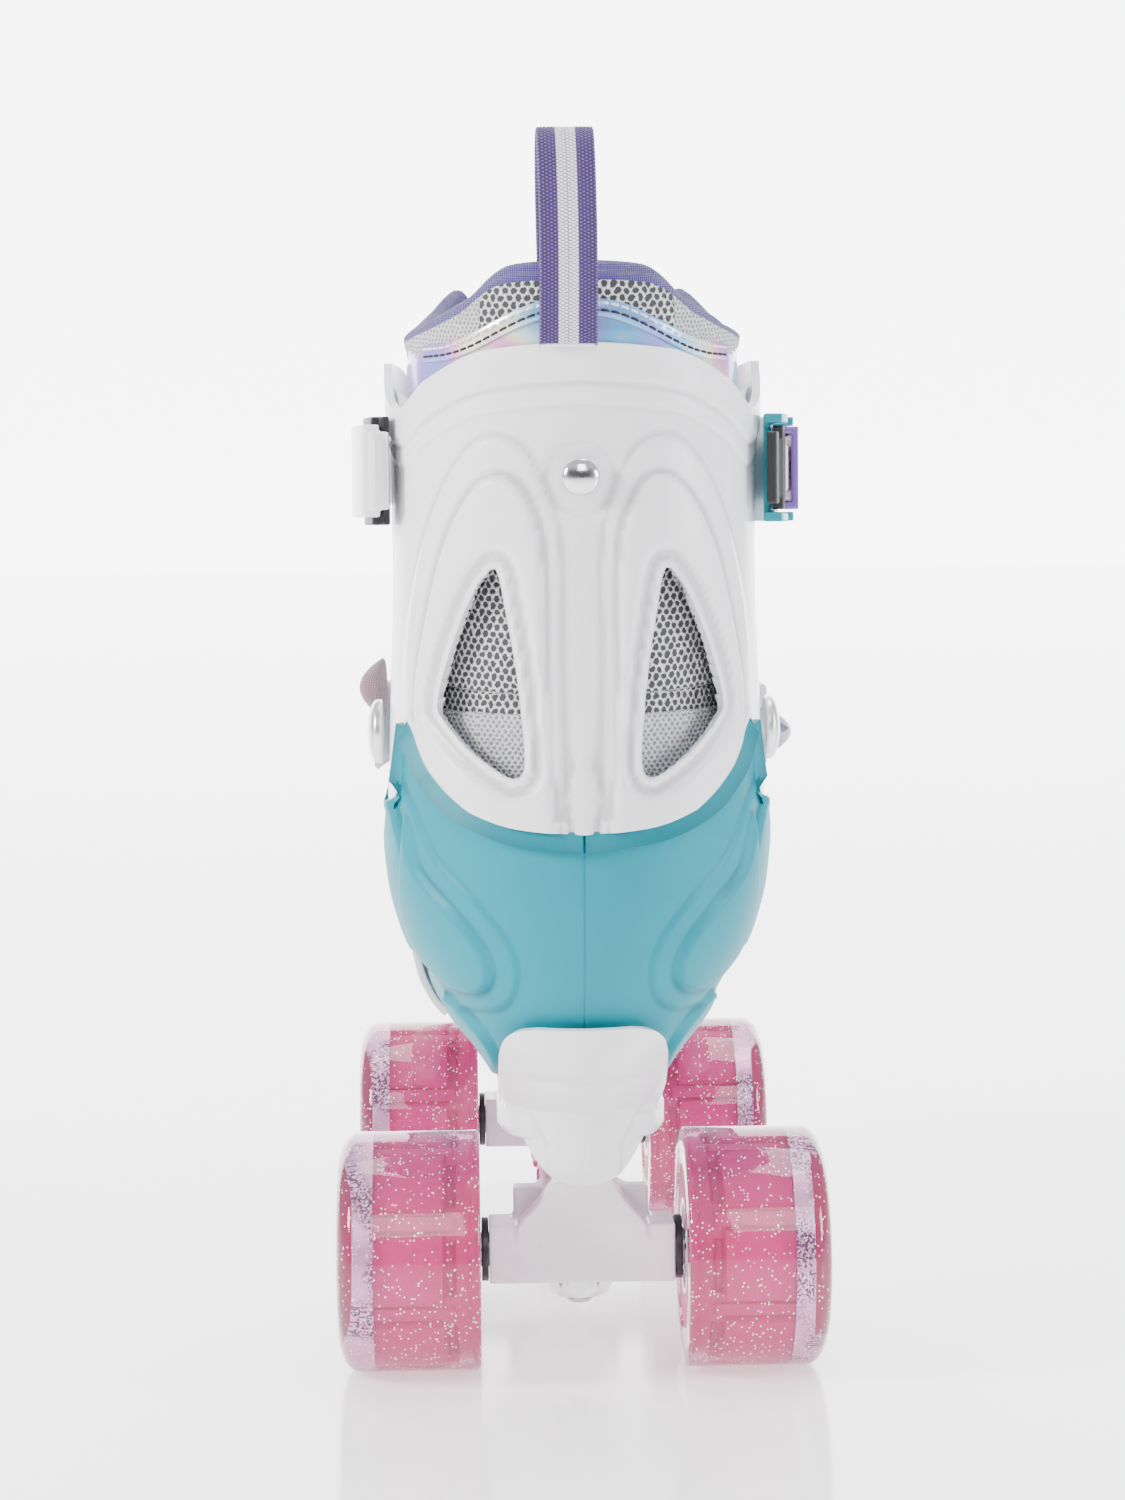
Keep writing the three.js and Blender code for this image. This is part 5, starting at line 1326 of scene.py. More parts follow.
# ---------------------------------------------------------------- trucks
@dataclass
class Truck:
    """One steering truck with its axle, kingpin, cushions and nuts."""

    end: str
    sizes: Sizes
    half: float = 21.0
    tube: float = 13.2

    def placed(self, shape: Shape) -> Shape:
        """Returns a shape built for the rear truck, turned end for end for the front one."""
        if self.end == "rear":
            return shape
        return shape.turned(Matrix.Rotation(math.pi, 3, "Z")).moved((0, self.sizes.wheelbase, 0))

    def hanger(self) -> list[Shape]:
        """Returns the pieces of the moulded hanger."""
        h, z = self.tube / 2, self.sizes.wheel_radius

        def slab(x: float, y0: float, y1: float, height: float) -> list[tuple[float, float, float]]:
            """Returns a rectangle's corners at a height."""
            return [(-x, y0, height), (x, y0, height), (x, y1, height), (-x, y1, height)]

        tube = box_shape((-self.half, -h, z - h), (self.half, h, z + h))
        levels = [
            slab(15, -h - 0.3, 2, z + 3), slab(14.4, -h - 0.5, 1, z + h + 0.6),
            slab(9.8, -9.5, -2, 39.5), slab(6.8, -12.5, -5.5, 44.5), slab(4.2, -16.8, -10.5, 47.3),
        ]
        arm = loft([np.array(level) for level in levels])
        ears = box_shape((-15.4, 2, 30), (15.4, 7.5, 40.6))
        post = turned_up([(0, 30), (11.3, 30), (11.3, 40), (10.4, 44.2), (0, 44.2)], 40)
        cup = turned_up([(0, 29.6), (12.2, 29.6), (12.2, 36), (0, 36)], 40).moved((0, self.sizes.kingpin, 0))
        web = box_shape((-12, 0, 30), (12, 18, 35.4))
        ball = turned_up([(0, 45), (2.5, 45), (2.6, 47.4), (3.3, 49), (3.3, 51), (2, 53), (0, 53.3)], 24)
        return [tube, arm, ears, cup, web, ball.moved((0, -self.sizes.pivot, 0)), post.moved((0, 6.5, -3.5))]

    def ring(self, low: float, high: float) -> Shape:
        """Returns one cushion."""
        outline = rounded([(4, low), (9, low), (9, high), (4, high)], 1.2)
        return turned_up([*outline, outline[0]], 40).moved((0, self.sizes.kingpin, 0))

    def nut(self, flats: float, height: float, bore: float) -> Shape:
        """Returns a chamfered hexagon nut along X from x = 0."""
        angle = np.linspace(0, 2 * math.pi, 49)[:-1]
        corner = flats / math.sqrt(3)
        hexagon = flats / 2 / np.cos((angle + math.pi / 6) % (math.pi / 3) - math.pi / 6)
        rings = [
            (bore, 0.0), (None, 0.0), (None, height * 0.25), (None, height * 0.75), (None, height),
            (bore, height),
        ]
        points = []
        for k, (radius, x) in enumerate(rings):
            if radius is not None:
                r = np.full(48, radius)
            else:
                r = np.minimum(hexagon, corner * (0.88 if k in (1, 4) else 1))
            points.append(np.stack([np.full(48, x), r * np.cos(angle), r * np.sin(angle)], -1))
        points.append(points[0])
        return grid_shape(np.array(points).transpose(1, 0, 2), wrap=True)

    def make(self) -> None:
        """Builds the truck."""
        body, z = f"{self.end}_truck", self.sizes.wheel_radius
        hanger = moulded(f"hanger_{self.end}_moulding", [self.placed(s) for s in self.hanger()], 0.42, 5)
        finish_piece(hanger, body, "white_plastic", Look.WHITE, stands_for=[f"hanger_{self.end}"])
        rod_line = [(0, -53.5), (3.2, -53.5), (3.9, -52.8), (3.9, 52.8), (3.2, 53.5), (0, 53.5)]
        steel = lathe(rod_line, 32, ends=True)
        rod = build(f"axle_{self.end}_rod", self.placed(steel).moved((0, 0, z)))
        finish_piece(rod, body, "steel", Look.STEEL, stands_for=[f"axle_{self.end}"])
        rings = []
        for side in (-1, 1):
            start = self.half + 0.15
            outline = rounded([(4, start), (7.2, start), (7.2, start + 1.6), (4, start + 1.6)], 0.25)
            near, far = start + 9.6, start + 19.6
            sleeve = rounded([(4, near), (6.2, near), (6.2, far), (4, far)], 0.3)
            pair = together([lathe(outline, 48), lathe(sleeve, 32)])
            rings.append(pair if side > 0 else pair.mirrored())
        washers = build(f"axle_{self.end}_washers", self.placed(together(rings)).moved((0, 0, z)))
        finish_piece(washers, body, "black_plastic", Look.BLACK)
        for hand, side in (("left", -1), ("right", 1)):
            nut = self.nut(13, 5.5, 4).moved((48.9, 0, 0))
            nut = nut if side > 0 else nut.mirrored()
            y = 0 if self.end == "rear" else self.sizes.wheelbase
            made = build(f"axle_nut_{self.end}_{hand}_hex", nut.moved((0, y, z)), 25)
            finish_piece(made, body, "chrome", Look.CHROME, stands_for=[f"axle_nut_{self.end}_{hand}"])
        pin = turned_up([(0, 10.2), (2.6, 10.2), (3.5, 11.2), (3.5, 56), (0, 56)], 32)
        pin = pin.moved((0, self.sizes.kingpin, 0))
        finish_piece(build(f"kingpin_{self.end}_bolt", self.placed(pin)), "boot", "steel", Look.STEEL,
                     stands_for=[f"kingpin_{self.end}"])
        nut = self.nut(13, 5.5, 3.6).turned(Matrix.Rotation(-math.pi / 2, 3, "Y"))
        nut = nut.moved((0, self.sizes.kingpin, 12.3))
        washer_line = [(3.6, 17.9), (8.6, 17.9), (8.6, 19.2), (3.6, 19.2), (3.6, 17.9)]
        washer = turned_up(washer_line, 32).moved((0, self.sizes.kingpin, 0))
        made = build(f"kingpin_nut_{self.end}_hex", self.placed(together([nut, washer])), 25)
        finish_piece(made, "boot", "chrome", Look.CHROME, stands_for=[f"kingpin_nut_{self.end}"])
        for name, low, high in (("upper", 35.4, 45.8), ("lower", 19.4, 29.4)):
            made = build(f"cushion_{name}_{self.end}_ring", self.placed(self.ring(low, high)))
            finish_piece(made, "boot", "soft_urethane", Look.SOFT, stands_for=[f"cushion_{name}_{self.end}"])


# ---------------------------------------------------------------- plate
@dataclass
class Plate:
    """The white sole plate with its heel shield, bosses, ribs and toe-stop boss."""

    form: BootForm

    def heel_face(self, x: Array, z: Array, stand: Array) -> Array:
        """Returns the y of the heel's surface at a place seen from behind."""
        share = np.clip(np.abs(x) / (self.form.heel(z) + stand), 0, 0.985)
        leg = self.form.sizes.leg_y
        return leg - (leg - self.form.spine(z) + stand) * np.sqrt(1 - share**2)

    def shield(self) -> Shape:
        """Returns the shield's outer face, which ends below in the rounded nose over the pivot."""
        half = Profile(
            (46.6, 2.2), (47.0, 4.4), (48.2, 7.2), (50, 9.2), (53, 11.4), (57, 13.9), (62, 17.0),
            (68, 18.7), (75, 18.6), (79, 17.8), (81.2, 16.2), (82.3, 13.8), (82.8, 11),
        )
        t = np.linspace(0, 1, 90)
        z = 46.6 + 36.2 * t
        c = np.sin(np.linspace(-1, 1, 90) * math.pi / 2)[:, None]
        x = c * half(z)[None, :]
        zz = np.broadcast_to(z, x.shape)
        stand = 2.3 + 0.6 * smoothstep(83, 78, zz) + 1.2 * smoothstep(68, 58, zz)
        y = self.heel_face(x, np.maximum(zz, 63), stand)
        y = y + 2.2 * smoothstep(52, 46.6, zz) ** 2 + 0.05 * np.maximum(0, 56 - zz)
        inner = np.abs(x) - (7.6 + 0.55 * np.maximum(0, zz - 56) + 0.05 * (zz - 48))
        y += 1.3 * smoothstep(-0.5, 1.0, inner) * smoothstep(70, 58, zz) * smoothstep(46, 51, zz)
        y += 0.8 * ridge(zz - 70.5, 1.5) * smoothstep(15, 9, np.abs(x))
        y -= 0.5 * smoothstep(70, 67, zz) * smoothstep(57, 66, zz)
        y += 0.16 * ridge(x, 0.45)
        return grid_shape(np.stack([x, y, zz], -1))

    def deck(self) -> list[Shape]:
        """Returns the deck's pieces."""
        half = [(-20, 12), (-15, 16), (0, 19), (40, 18), (85, 20), (130, 20), (165, 20), (186, 17), (196, 11)]
        smooth = Profile(*half)
        ys = np.linspace(-20, 197, 90)
        outline = [(float(smooth(y)), y) for y in ys]
        outline += [(-x, y) for x, y in outline[::-1]]
        inside = [(x * 0.9, y) for x, y in outline if y < 112]
        pieces = [prism_shape(outline, 56, 61.6), prism_shape(inside, 61, 64.4)]
        sizes = self.form.sizes
        for axle, way in ((0, 1), (sizes.wheelbase, -1)):
            boss = turned_up([(0, 46), (10.5, 46), (12, 57.5), (0, 57.5)], 40)
            boss_y, housing_y = axle + way * sizes.kingpin, axle - way * sizes.pivot
            pieces.append(boss.moved((0, boss_y, 0)))
            housing = turned_up([(0, 46.8), (5.6, 46.8), (7.2, 49), (9.5, 57.5), (0, 57.5)], 40)
            pieces.append(housing.moved((0, housing_y, 0)))
            for x in (-8.5, 8.5):
                pieces.append(box_shape((x - 1.3, min(housing_y, boss_y), 49.5),
                                        (x + 1.3, max(housing_y, boss_y), 57)))
        for x in (-11, 11):
            pieces.append(box_shape((x - 1.4, 28, 50.3), (x + 1.4, 122, 57)))
        for y in (45, 60, 75, 90, 105):
            pieces.append(box_shape((-11, y - 1.0, 52), (11, y + 1.0, 57)))
        boss = turned_up([(0, 0.2), (9.3, 0.2), (9.3, 9), (0, 9)], 36)
        pieces.append(boss.turned(TOE_STOP_TILT).moved(TOE_STOP_AT))
        levels = ((4.6, -20, -12, 49.5), (7.4, -20.5, -10, 53), (10.5, -21, -8, 58), (12, -20, -8, 63.5))
        nose = loft([
            np.array([(-x, y0, z), (x, y0, z), (x, y1, z), (-x, y1, z)]) for x, y0, y1, z in levels
        ])
        return [*pieces, nose]

    def make(self) -> None:
        """Builds the plate."""
        deck = moulded("plate_deck", self.deck(), 0.75, 3)
        finish_piece(deck, "boot", "white_plastic", Look.WHITE, stands_for=["plate"])
        shield = thicken(build("plate_heel_shield", self.shield(), 60), 1.5, 0.5)
        finish_piece(shield, "boot", "white_plastic", Look.WHITE)


# ---------------------------------------------------------------- liner
def soft_copy(name: str, node: str, voxel: float, smooth: int) -> Object:
    """Returns a rounded, padded version of a CAD solid, with its cloth laid out in millimetres."""
    source = bpy.data.objects[node]
    made = bpy.data.objects.new(name, source.data.copy())
    bpy.context.scene.collection.objects.link(made)
    made.matrix_world = source.matrix_world
    fuse = made.modifiers.new("fuse", "REMESH")
    fuse.mode = "VOXEL"
    fuse.voxel_size = voxel * MM
    soften = made.modifiers.new("soften", "SMOOTH")
    soften.factor = 0.5
    soften.iterations = smooth
    apply(made)
    made.data.transform(made.matrix_world)
    made.matrix_world = Matrix.Identity(4)
    made.data.polygons.foreach_set("use_smooth", [True] * len(made.data.polygons))
    return lay_cloth(made)


def lay_cloth(target: Object) -> Object:
    """Gives a mesh UVs in millimetres, looked at along each face's main direction."""
    mesh = target.data
    layer = mesh.uv_layers.get("mm") or mesh.uv_layers.new(name="mm")
    points = np.zeros(len(mesh.vertices) * 3)
    mesh.vertices.foreach_get("co", points)
    points = points.reshape(-1, 3) / MM
    directions = np.zeros(len(mesh.polygons) * 3)
    mesh.polygons.foreach_get("normal", directions)
    main = np.abs(directions.reshape(-1, 3) * [1, 1, 0.8]).argmax(1)
    totals = np.zeros(len(mesh.polygons), np.int64)
    mesh.polygons.foreach_get("loop_total", totals)
    main = np.repeat(main, totals)
    loops = np.zeros(len(mesh.loops), np.int64)
    mesh.loops.foreach_get("vertex_index", loops)
    p = points[loops]
    axes = np.array([[1, 2], [0, 2], [0, 1]])[main]
    uv = np.take_along_axis(p, axes, 1)
    layer.data.foreach_set("uv", uv.astype(np.float32).ravel())
    return target


def face_looks(target: Object, choose: Callable[[Array, Array], Array]) -> None:
    """Sets each face's finish from its middle and normal, both in the design frame in millimetres."""
    count = len(target.data.polygons)
    middle, normal = np.zeros(count * 3), np.zeros(count * 3)
    target.data.polygons.foreach_get("center", middle)
    target.data.polygons.foreach_get("normal", normal)
    middle = middle.reshape(-1, 3) / MM - [0, SHIFT_Y / MM, 0]
    target.data.polygons.foreach_set("material_index", choose(middle, normal.reshape(-1, 3)).astype(np.int32))


def stitches(line: Array, out: Array, pitch: float, length: float, radius: float) -> Shape:
    """Returns a row of raised stitches.

    Args:
        line: points of the seam.
        out: unit normals at those points.
        pitch, length: spacing and length of a stitch.
        radius: thickness of the thread.
    """
    place = distance_along(line)
    pieces = []
    for start in np.arange(pitch / 2, place[-1] - length, pitch):
        s = start + np.linspace(0, length, 5)
        p = np.stack([np.interp(s, place, line[:, k]) for k in range(3)], -1)
        n = np.stack([np.interp(s, place, out[:, k]) for k in range(3)], -1)
        arch = np.array([-0.4, 0.7, 1, 0.7, -0.4]) * radius
        pieces.append(tube(p + n * arch[:, None], radius, 6))
    return together(pieces)


def tube(path: Array, radius: float, sides: int = 10) -> Shape:
    """Returns a round tube along a path, closed at both ends."""
    tangent = np.gradient(path, axis=0)
    tangent /= np.maximum(np.linalg.norm(tangent, axis=1), 1e-9)[:, None]
    side = np.cross(tangent[0], [0.13, 0.21, 0.97])
    rings = []
    for p, t in zip(path, tangent):
        side = side - t * side.dot(t)
        side = side / np.linalg.norm(side)
        up = np.cross(t, side)
        angle = np.linspace(0, 2 * math.pi, sides, endpoint=False)
        rings.append(p + radius * (np.cos(angle)[:, None] * side + np.sin(angle)[:, None] * up))
    shape = loft(rings)
    length = distance_along(path)
    uv = [(radius * 6.28 * i / sides, s) for s in length for i in range(sides)]
    shape.uv = np.array(uv)
    return shape


@dataclass
class Liner:
    """The padded boot liner: collar, foot, toe, insole and tongue."""

    form: BootForm
    columns: int = 220

    def edge(self, y: Array) -> Array:
        """Returns the height of the collar's upper edge along the skate."""
        return Profile(
            (-40, 249), (-26, 247.5), (-18, 241), (-8, 238), (8, 236.5), (24, 239.5), (40, 247), (58, 251),
        )(y)

    def collar(self) -> tuple[Shape, Array]:
        """Returns the collar as a closed, padded form, and its outer sheet's points."""
        sizes = self.form.sizes
        angle = np.linspace(-2.45, 2.45, self.columns)[:, None]
        y = self.form.leg_ring(angle, 240 + 0 * angle, 6.0)[..., 1]
        top = self.edge(y) - 10 * smoothstep(2.2, 2.45, np.abs(angle))
        bottom = 151.4 + 16 * (y + 70) / 170
        rise = np.linspace(0, 1, 70)[None, :]
        z_out = bottom + (top - 3.2 - bottom) * rise
        lean = 2.2 * smoothstep(226, 254, z_out)
        puff = 0.9 * np.sin(np.clip((z_out - 230) / (top - 230), 0, 1) * math.pi)
        outer = self.form.leg_ring(angle, z_out, sizes.liner_inset + 0.1 + lean - puff)
        turn = np.linspace(0, math.pi, 13)[None, 1:-1]
        half = sizes.pad / 2 - 0.1
        z_rim = top - 3.2 + half * 1.1 * np.sin(turn)
        rim = self.form.leg_ring(angle, z_rim, sizes.liner_inset + 2.3 + half * (1 - np.cos(turn)))
        fall = rise[:, ::-1]
        z_in = bottom + (top - 3.2 - bottom) * fall
        inset = sizes.liner_inset + sizes.pad + 1.6 * smoothstep(226, 250, z_in)
        inner = self.form.leg_ring(angle, z_in, inset)
        foot = self.form.leg_ring(angle, bottom - 1.2, sizes.liner_inset + half)
        ring = np.concatenate([outer, rim, inner, foot, outer[:, :1]], 1)
        near, far = ring[:1].mean(1, keepdims=True), ring[-1:].mean(1, keepdims=True)
        ends = [near + (ring[:1] - near) * k for k in (0.02, 0.7)]
        others = [far + (ring[-1:] - far) * k for k in (0.7, 0.02)]
        return grid_shape(np.concatenate([*ends, ring, *others])), outer

    def trim_height(self, x: Array) -> Array:
        """Returns the height of the silver trim's middle at a distance from the spine."""
        return 237.5 - 8.5 * smoothstep(4, 30, np.abs(x))

    def collar_look(self, p: Array, n: Array) -> Array:
        """Returns which finish each face of the collar takes: holes, fine mesh, lining or film."""
        centre = np.stack([0 * p[:, 0], np.full(len(p), 14.0), p[:, 2]], -1)
        out = ((p - centre) * n)[:, :2].sum(1) > 0
        look = np.where((np.abs(p[:, 0]) < 21) | ((p[:, 2] < 195) & (np.abs(p[:, 0]) < 36)), 0, 1)
        film = (p[:, 2] < self.trim_height(p[:, 0])) & (p[:, 2] > 200)
        film |= (p[:, 1] > 2) & (p[:, 2] < self.edge(p[:, 1]) - 7) & (p[:, 2] > 200)
        look = np.where(film, 3, look)
        above = p[:, 2] > self.edge(p[:, 1]) - 4.4
        return np.where(out & ~above, look, 2)

    def foot_look(self, p: Array, n: Array) -> Array:
        """Returns 1 for the lining on the faces that look into the foot, and 0 for the mesh."""
        inwards = n[:, 0] * p[:, 0] + n[:, 1] * (p[:, 1] - 20) < -3
        return np.where(((p[:, 2] < 76) | inwards) & (p[:, 1] < 118), 1, 0)

    def trims(self, outer: Array) -> None:
        """Builds the silver trim band over the film's upper edge, and its stitches."""
        columns = [c for c in range(len(outer)) if abs(outer[c, 40, 0]) < 33 and outer[c, 40, 1] < 5]
        centres, outs = [], []
        sheet_normals = facing_out(normals(outer), outer, (0, 12, 0))
        for c in columns:
            heights = outer[c, :, 2]
            target = float(self.trim_height(outer[c, 50, 0]))
            centres.append([np.interp(target, heights, outer[c, :, k]) for k in range(3)])
            outs.append([np.interp(target, heights, sheet_normals[c, :, k]) for k in range(3)])
        line, out = np.array(centres), np.array(outs)
        along = np.gradient(line, axis=0)
        along /= np.linalg.norm(along, axis=1)[:, None]
        across = np.cross(out, along)
        section = [(-1.9, -0.2), (-1.8, 0.55), (-1.2, 0.8), (1.2, 0.8), (1.8, 0.55), (1.9, -0.2)]
        points = np.stack([line + across * a + out * b for a, b in section], 1)
        band = build("collar_trim", grid_shape(points))
        finish_piece(band, "cuff", "silver_webbing", Look.FILM)
        seam = line + across * 0.9 + out * 0.8
        pale = build("collar_stitches", stitches(seam, out, 2.3, 1.5, 0.3))
        finish_piece(pale, "cuff", "lace", Look.STITCH)
        seam = line - across * 0.7 + out * 0.8
        dark = build("collar_dark_stitches", stitches(seam, out, 2.3, 1.7, 0.28))
        finish_piece(dark, "cuff", "black_plastic", Look.DARK_STITCH)

    def gusset(self) -> None:
        """Builds the stretch lining that bridges the fold at the ankle, inside the padding."""
        angle = np.linspace(-2.55, 2.55, 120)[:, None]
        y = self.form.leg_ring(angle, 155 + 0 * angle, 8.8)[..., 1]
        low = 144 + 0 * y
        high = 160 + 16 * (y + 70) / 170
        z = low + (high - low) * np.linspace(0, 1, 24)[None, :]
        band = thicken(build("liner_gusset", grid_shape(self.form.leg_ring(angle, z, 8.6 + 0 * z))), 0.8, 0.2)
        Paint.on(band, Look.LINING)
        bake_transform(band)
        declare_sheet(band, 26.0)

    def tongue(self) -> None:
        """Builds the padded tongue, from under the laces up to its rolled top."""
        throat = np.linspace(112, 71, 26)
        shaft = np.linspace(168, 237, 44)
        line = np.concatenate(
            [
                np.stack([throat, self.form.crown(throat) - 6.6], -1),
                [[65.2, 157.5], [61.8, 163.5]],
                np.stack([self.form.shin(shaft) - 7.0, shaft], -1),
            ]
        )
        s = np.linspace(0, distance_along(line)[-1], 120)
        line = relaxed(respaced(line, len(s)), 10)
        tangent = headings(line)
        out = np.stack([tangent[:, 1], -tangent[:, 0]], -1)
        share = s / s[-1]
        end = np.clip(np.minimum(share, 1 - share) / 0.045, 0.02, 1)
        end = np.sqrt(1 - (1 - end) ** 2)
        half = mix(11.3, 21.5, smoothstep(0.36, 0.62, share)) * (0.72 + 0.28 * end)
        thick = mix(2.6, 3.0, smoothstep(0.3, 0.6, share)) * end + 0.1
        quilt = 1 - 0.10 * np.maximum(0, np.sin(s / 11 * math.pi)) ** 12
        angle = np.linspace(0, 2 * math.pi, 64, endpoint=False)
        c, d = np.cos(angle), np.sin(angle)
        round_x, round_t = np.sign(c) * np.abs(c) ** 0.75, np.sign(d) * np.abs(d) ** 0.6
        rings = []
        for k in range(len(s)):
            x = half[k] * round_x
            t = thick[k] * round_t * (quilt[k] if share[k] > 0.45 else 1) - 0.006 * x**2
            rings.append(np.stack([x, line[k, 0] + out[k, 0] * t, line[k, 1] + out[k, 1] * t], -1))
        made = lay_cloth(build("tongue_pad", loft(rings), 80))
        face_looks(made, lambda p, n: np.where((n[:, 1] > -0.2) | (n[:, 2] > 0.5), 0, 1))
        Paint.on(made, Look.FINE_MESH, Look.LINING)
        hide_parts("tongue_lower", "tongue_upper")
        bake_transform(made)
        log.info("made %s", made.name)

    def make(self) -> None:
        """Builds the liner."""
        shape, outer = self.collar()
        collar = build("collar_pad", shape, 80)
        face_looks(collar, self.collar_look)
        finish_piece(collar, "cuff", "spacer_mesh", Look.HOLES, Look.FINE_MESH, Look.LINING, Look.FILM,
                     stands_for=["liner_collar"])
        self.trims(outer)
        self.gusset()
        foot = soft_copy("foot_pad", "liner_foot", 1.3, 3)
        face_looks(foot, self.foot_look)
        finish_piece(foot, "boot", "spacer_mesh", Look.FINE_MESH, Look.LINING, stands_for=["liner_foot"])
        toe = soft_copy("toe_pad", "liner_toe", 1.2, 2)
        finish_piece(toe, "toe", "spacer_mesh", Look.FINE_MESH, stands_for=["liner_toe"])
        sole = soft_copy("footbed", "insole", 0.8, 3)
        finish_piece(sole, "boot", "lining", Look.LINING, stands_for=["insole"])
        self.tongue()


# ---------------------------------------------------------------- laces and straps
@dataclass
class Laces:
    """A flat braided lace through ten eyelets, over the tongue."""

    form: BootForm

    def surface(self, x: float, y: float) -> float:
        """Returns the liner's height at a place on the instep."""
        level = np.linspace(1, 0.35, 60)
        z = mix(67.4, float(self.form.crown(y)), level)
        wide = np.asarray(self.form.side_width(y, z)) - 5.8 >= abs(x)
        found = level[np.argmax(wide)] if wide.any() else 0.4
        return float(mix(67.4, float(self.form.crown(y)) - 5.8, found))

    def over(self, x: float, y: float) -> Array:
        """Returns a point of the lace, over the tongue or the liner."""
        tongue = float(self.form.crown(y)) - 3.3 if abs(x) < 13 else 0
        return np.array([x, y, max(tongue, self.surface(x, y)) + 2.9])

    def make(self) -> None:
        """Builds the lace and its eyelets."""
        rows = [(110, 1), (105, -1), (100, 1), (95, -1), (90, 1)]
        knots = [self.over(side * x, y - i * 0.8) for y, side in rows for i, x in
                 enumerate((-17, -12.5, -5, 5, 12.5, 17))]
        knots = np.array(knots)
        path = relaxed(respaced(knots, 520), 8)
        angle = np.linspace(0, 2 * math.pi, 17)[:-1]
        section = np.stack([1.75 * np.cos(angle), 0.85 * np.sin(angle)], -1)
        lace = build("lace_braid", sweep(path, section), 60)
        finish_piece(lace, "boot", "lace", Look.LACE, stands_for=["laces"])
        rings = []
        for y, side in rows:
            for i, x in ((0, -17), (5, 17)):
                at = self.over(side * x, y - i * 0.8)
                angle = np.linspace(0, 2 * math.pi, 25)
                lean = np.array([math.copysign(0.5, at[0]), 0, 0.85])
                u = np.array([0, 1, 0.0])
                v = np.cross(lean, u)
                ring = at - lean * 1.4 + 2.4 * (np.cos(angle)[:, None] * u + np.sin(angle)[:, None] * v)
                rings.append(tube(ring, 0.6, 8))
        eyelets = build("eyelets", together(rings))
        finish_piece(eyelets, "boot", "chrome", Look.SATIN_STEEL)


def band(path: Array, across: Array, out: Array, half: float, thick: float, columns: int = 15) -> Shape:
    """Returns a flat band along a path, rounded at its edges.

    Args:
        path: middle line of the band's inner face.
        across, out: unit vectors at each point, along its width and off its face.
        half, thick: half width and thickness in millimetres.
        columns: points over the width of each face.
    """
    u = np.linspace(-half, half, columns)
    past = np.maximum(0, (np.abs(u) - half + thick / 2) / (thick / 2))
    lift = np.minimum(1, np.sqrt(np.maximum(0, 1 - past**2)))
    upper = np.stack([u, thick / 2 + thick / 2 * lift], -1)
    lower = np.stack([u[::-1], thick / 2 - thick / 2 * lift], -1)
    section = np.vstack([upper, lower, upper[:1]])
    points = path[:, None] + across[:, None] * section[None, :, :1] + out[:, None] * section[None, :, 1:]
    shape = grid_shape(points)
    length = distance_along(path)
    uv = np.stack(np.broadcast_arrays(section[None, :, 0], length[:, None]), -1)
    shape.uv = uv.reshape(-1, 2)
    ends = [points[0], points[-1]]
    caps = []
    for ring in ends:
        caps.append(Shape(ring[:-1], [tuple(range(len(ring) - 1))], np.zeros((len(ring) - 1, 2))))
    return together([shape, *caps])


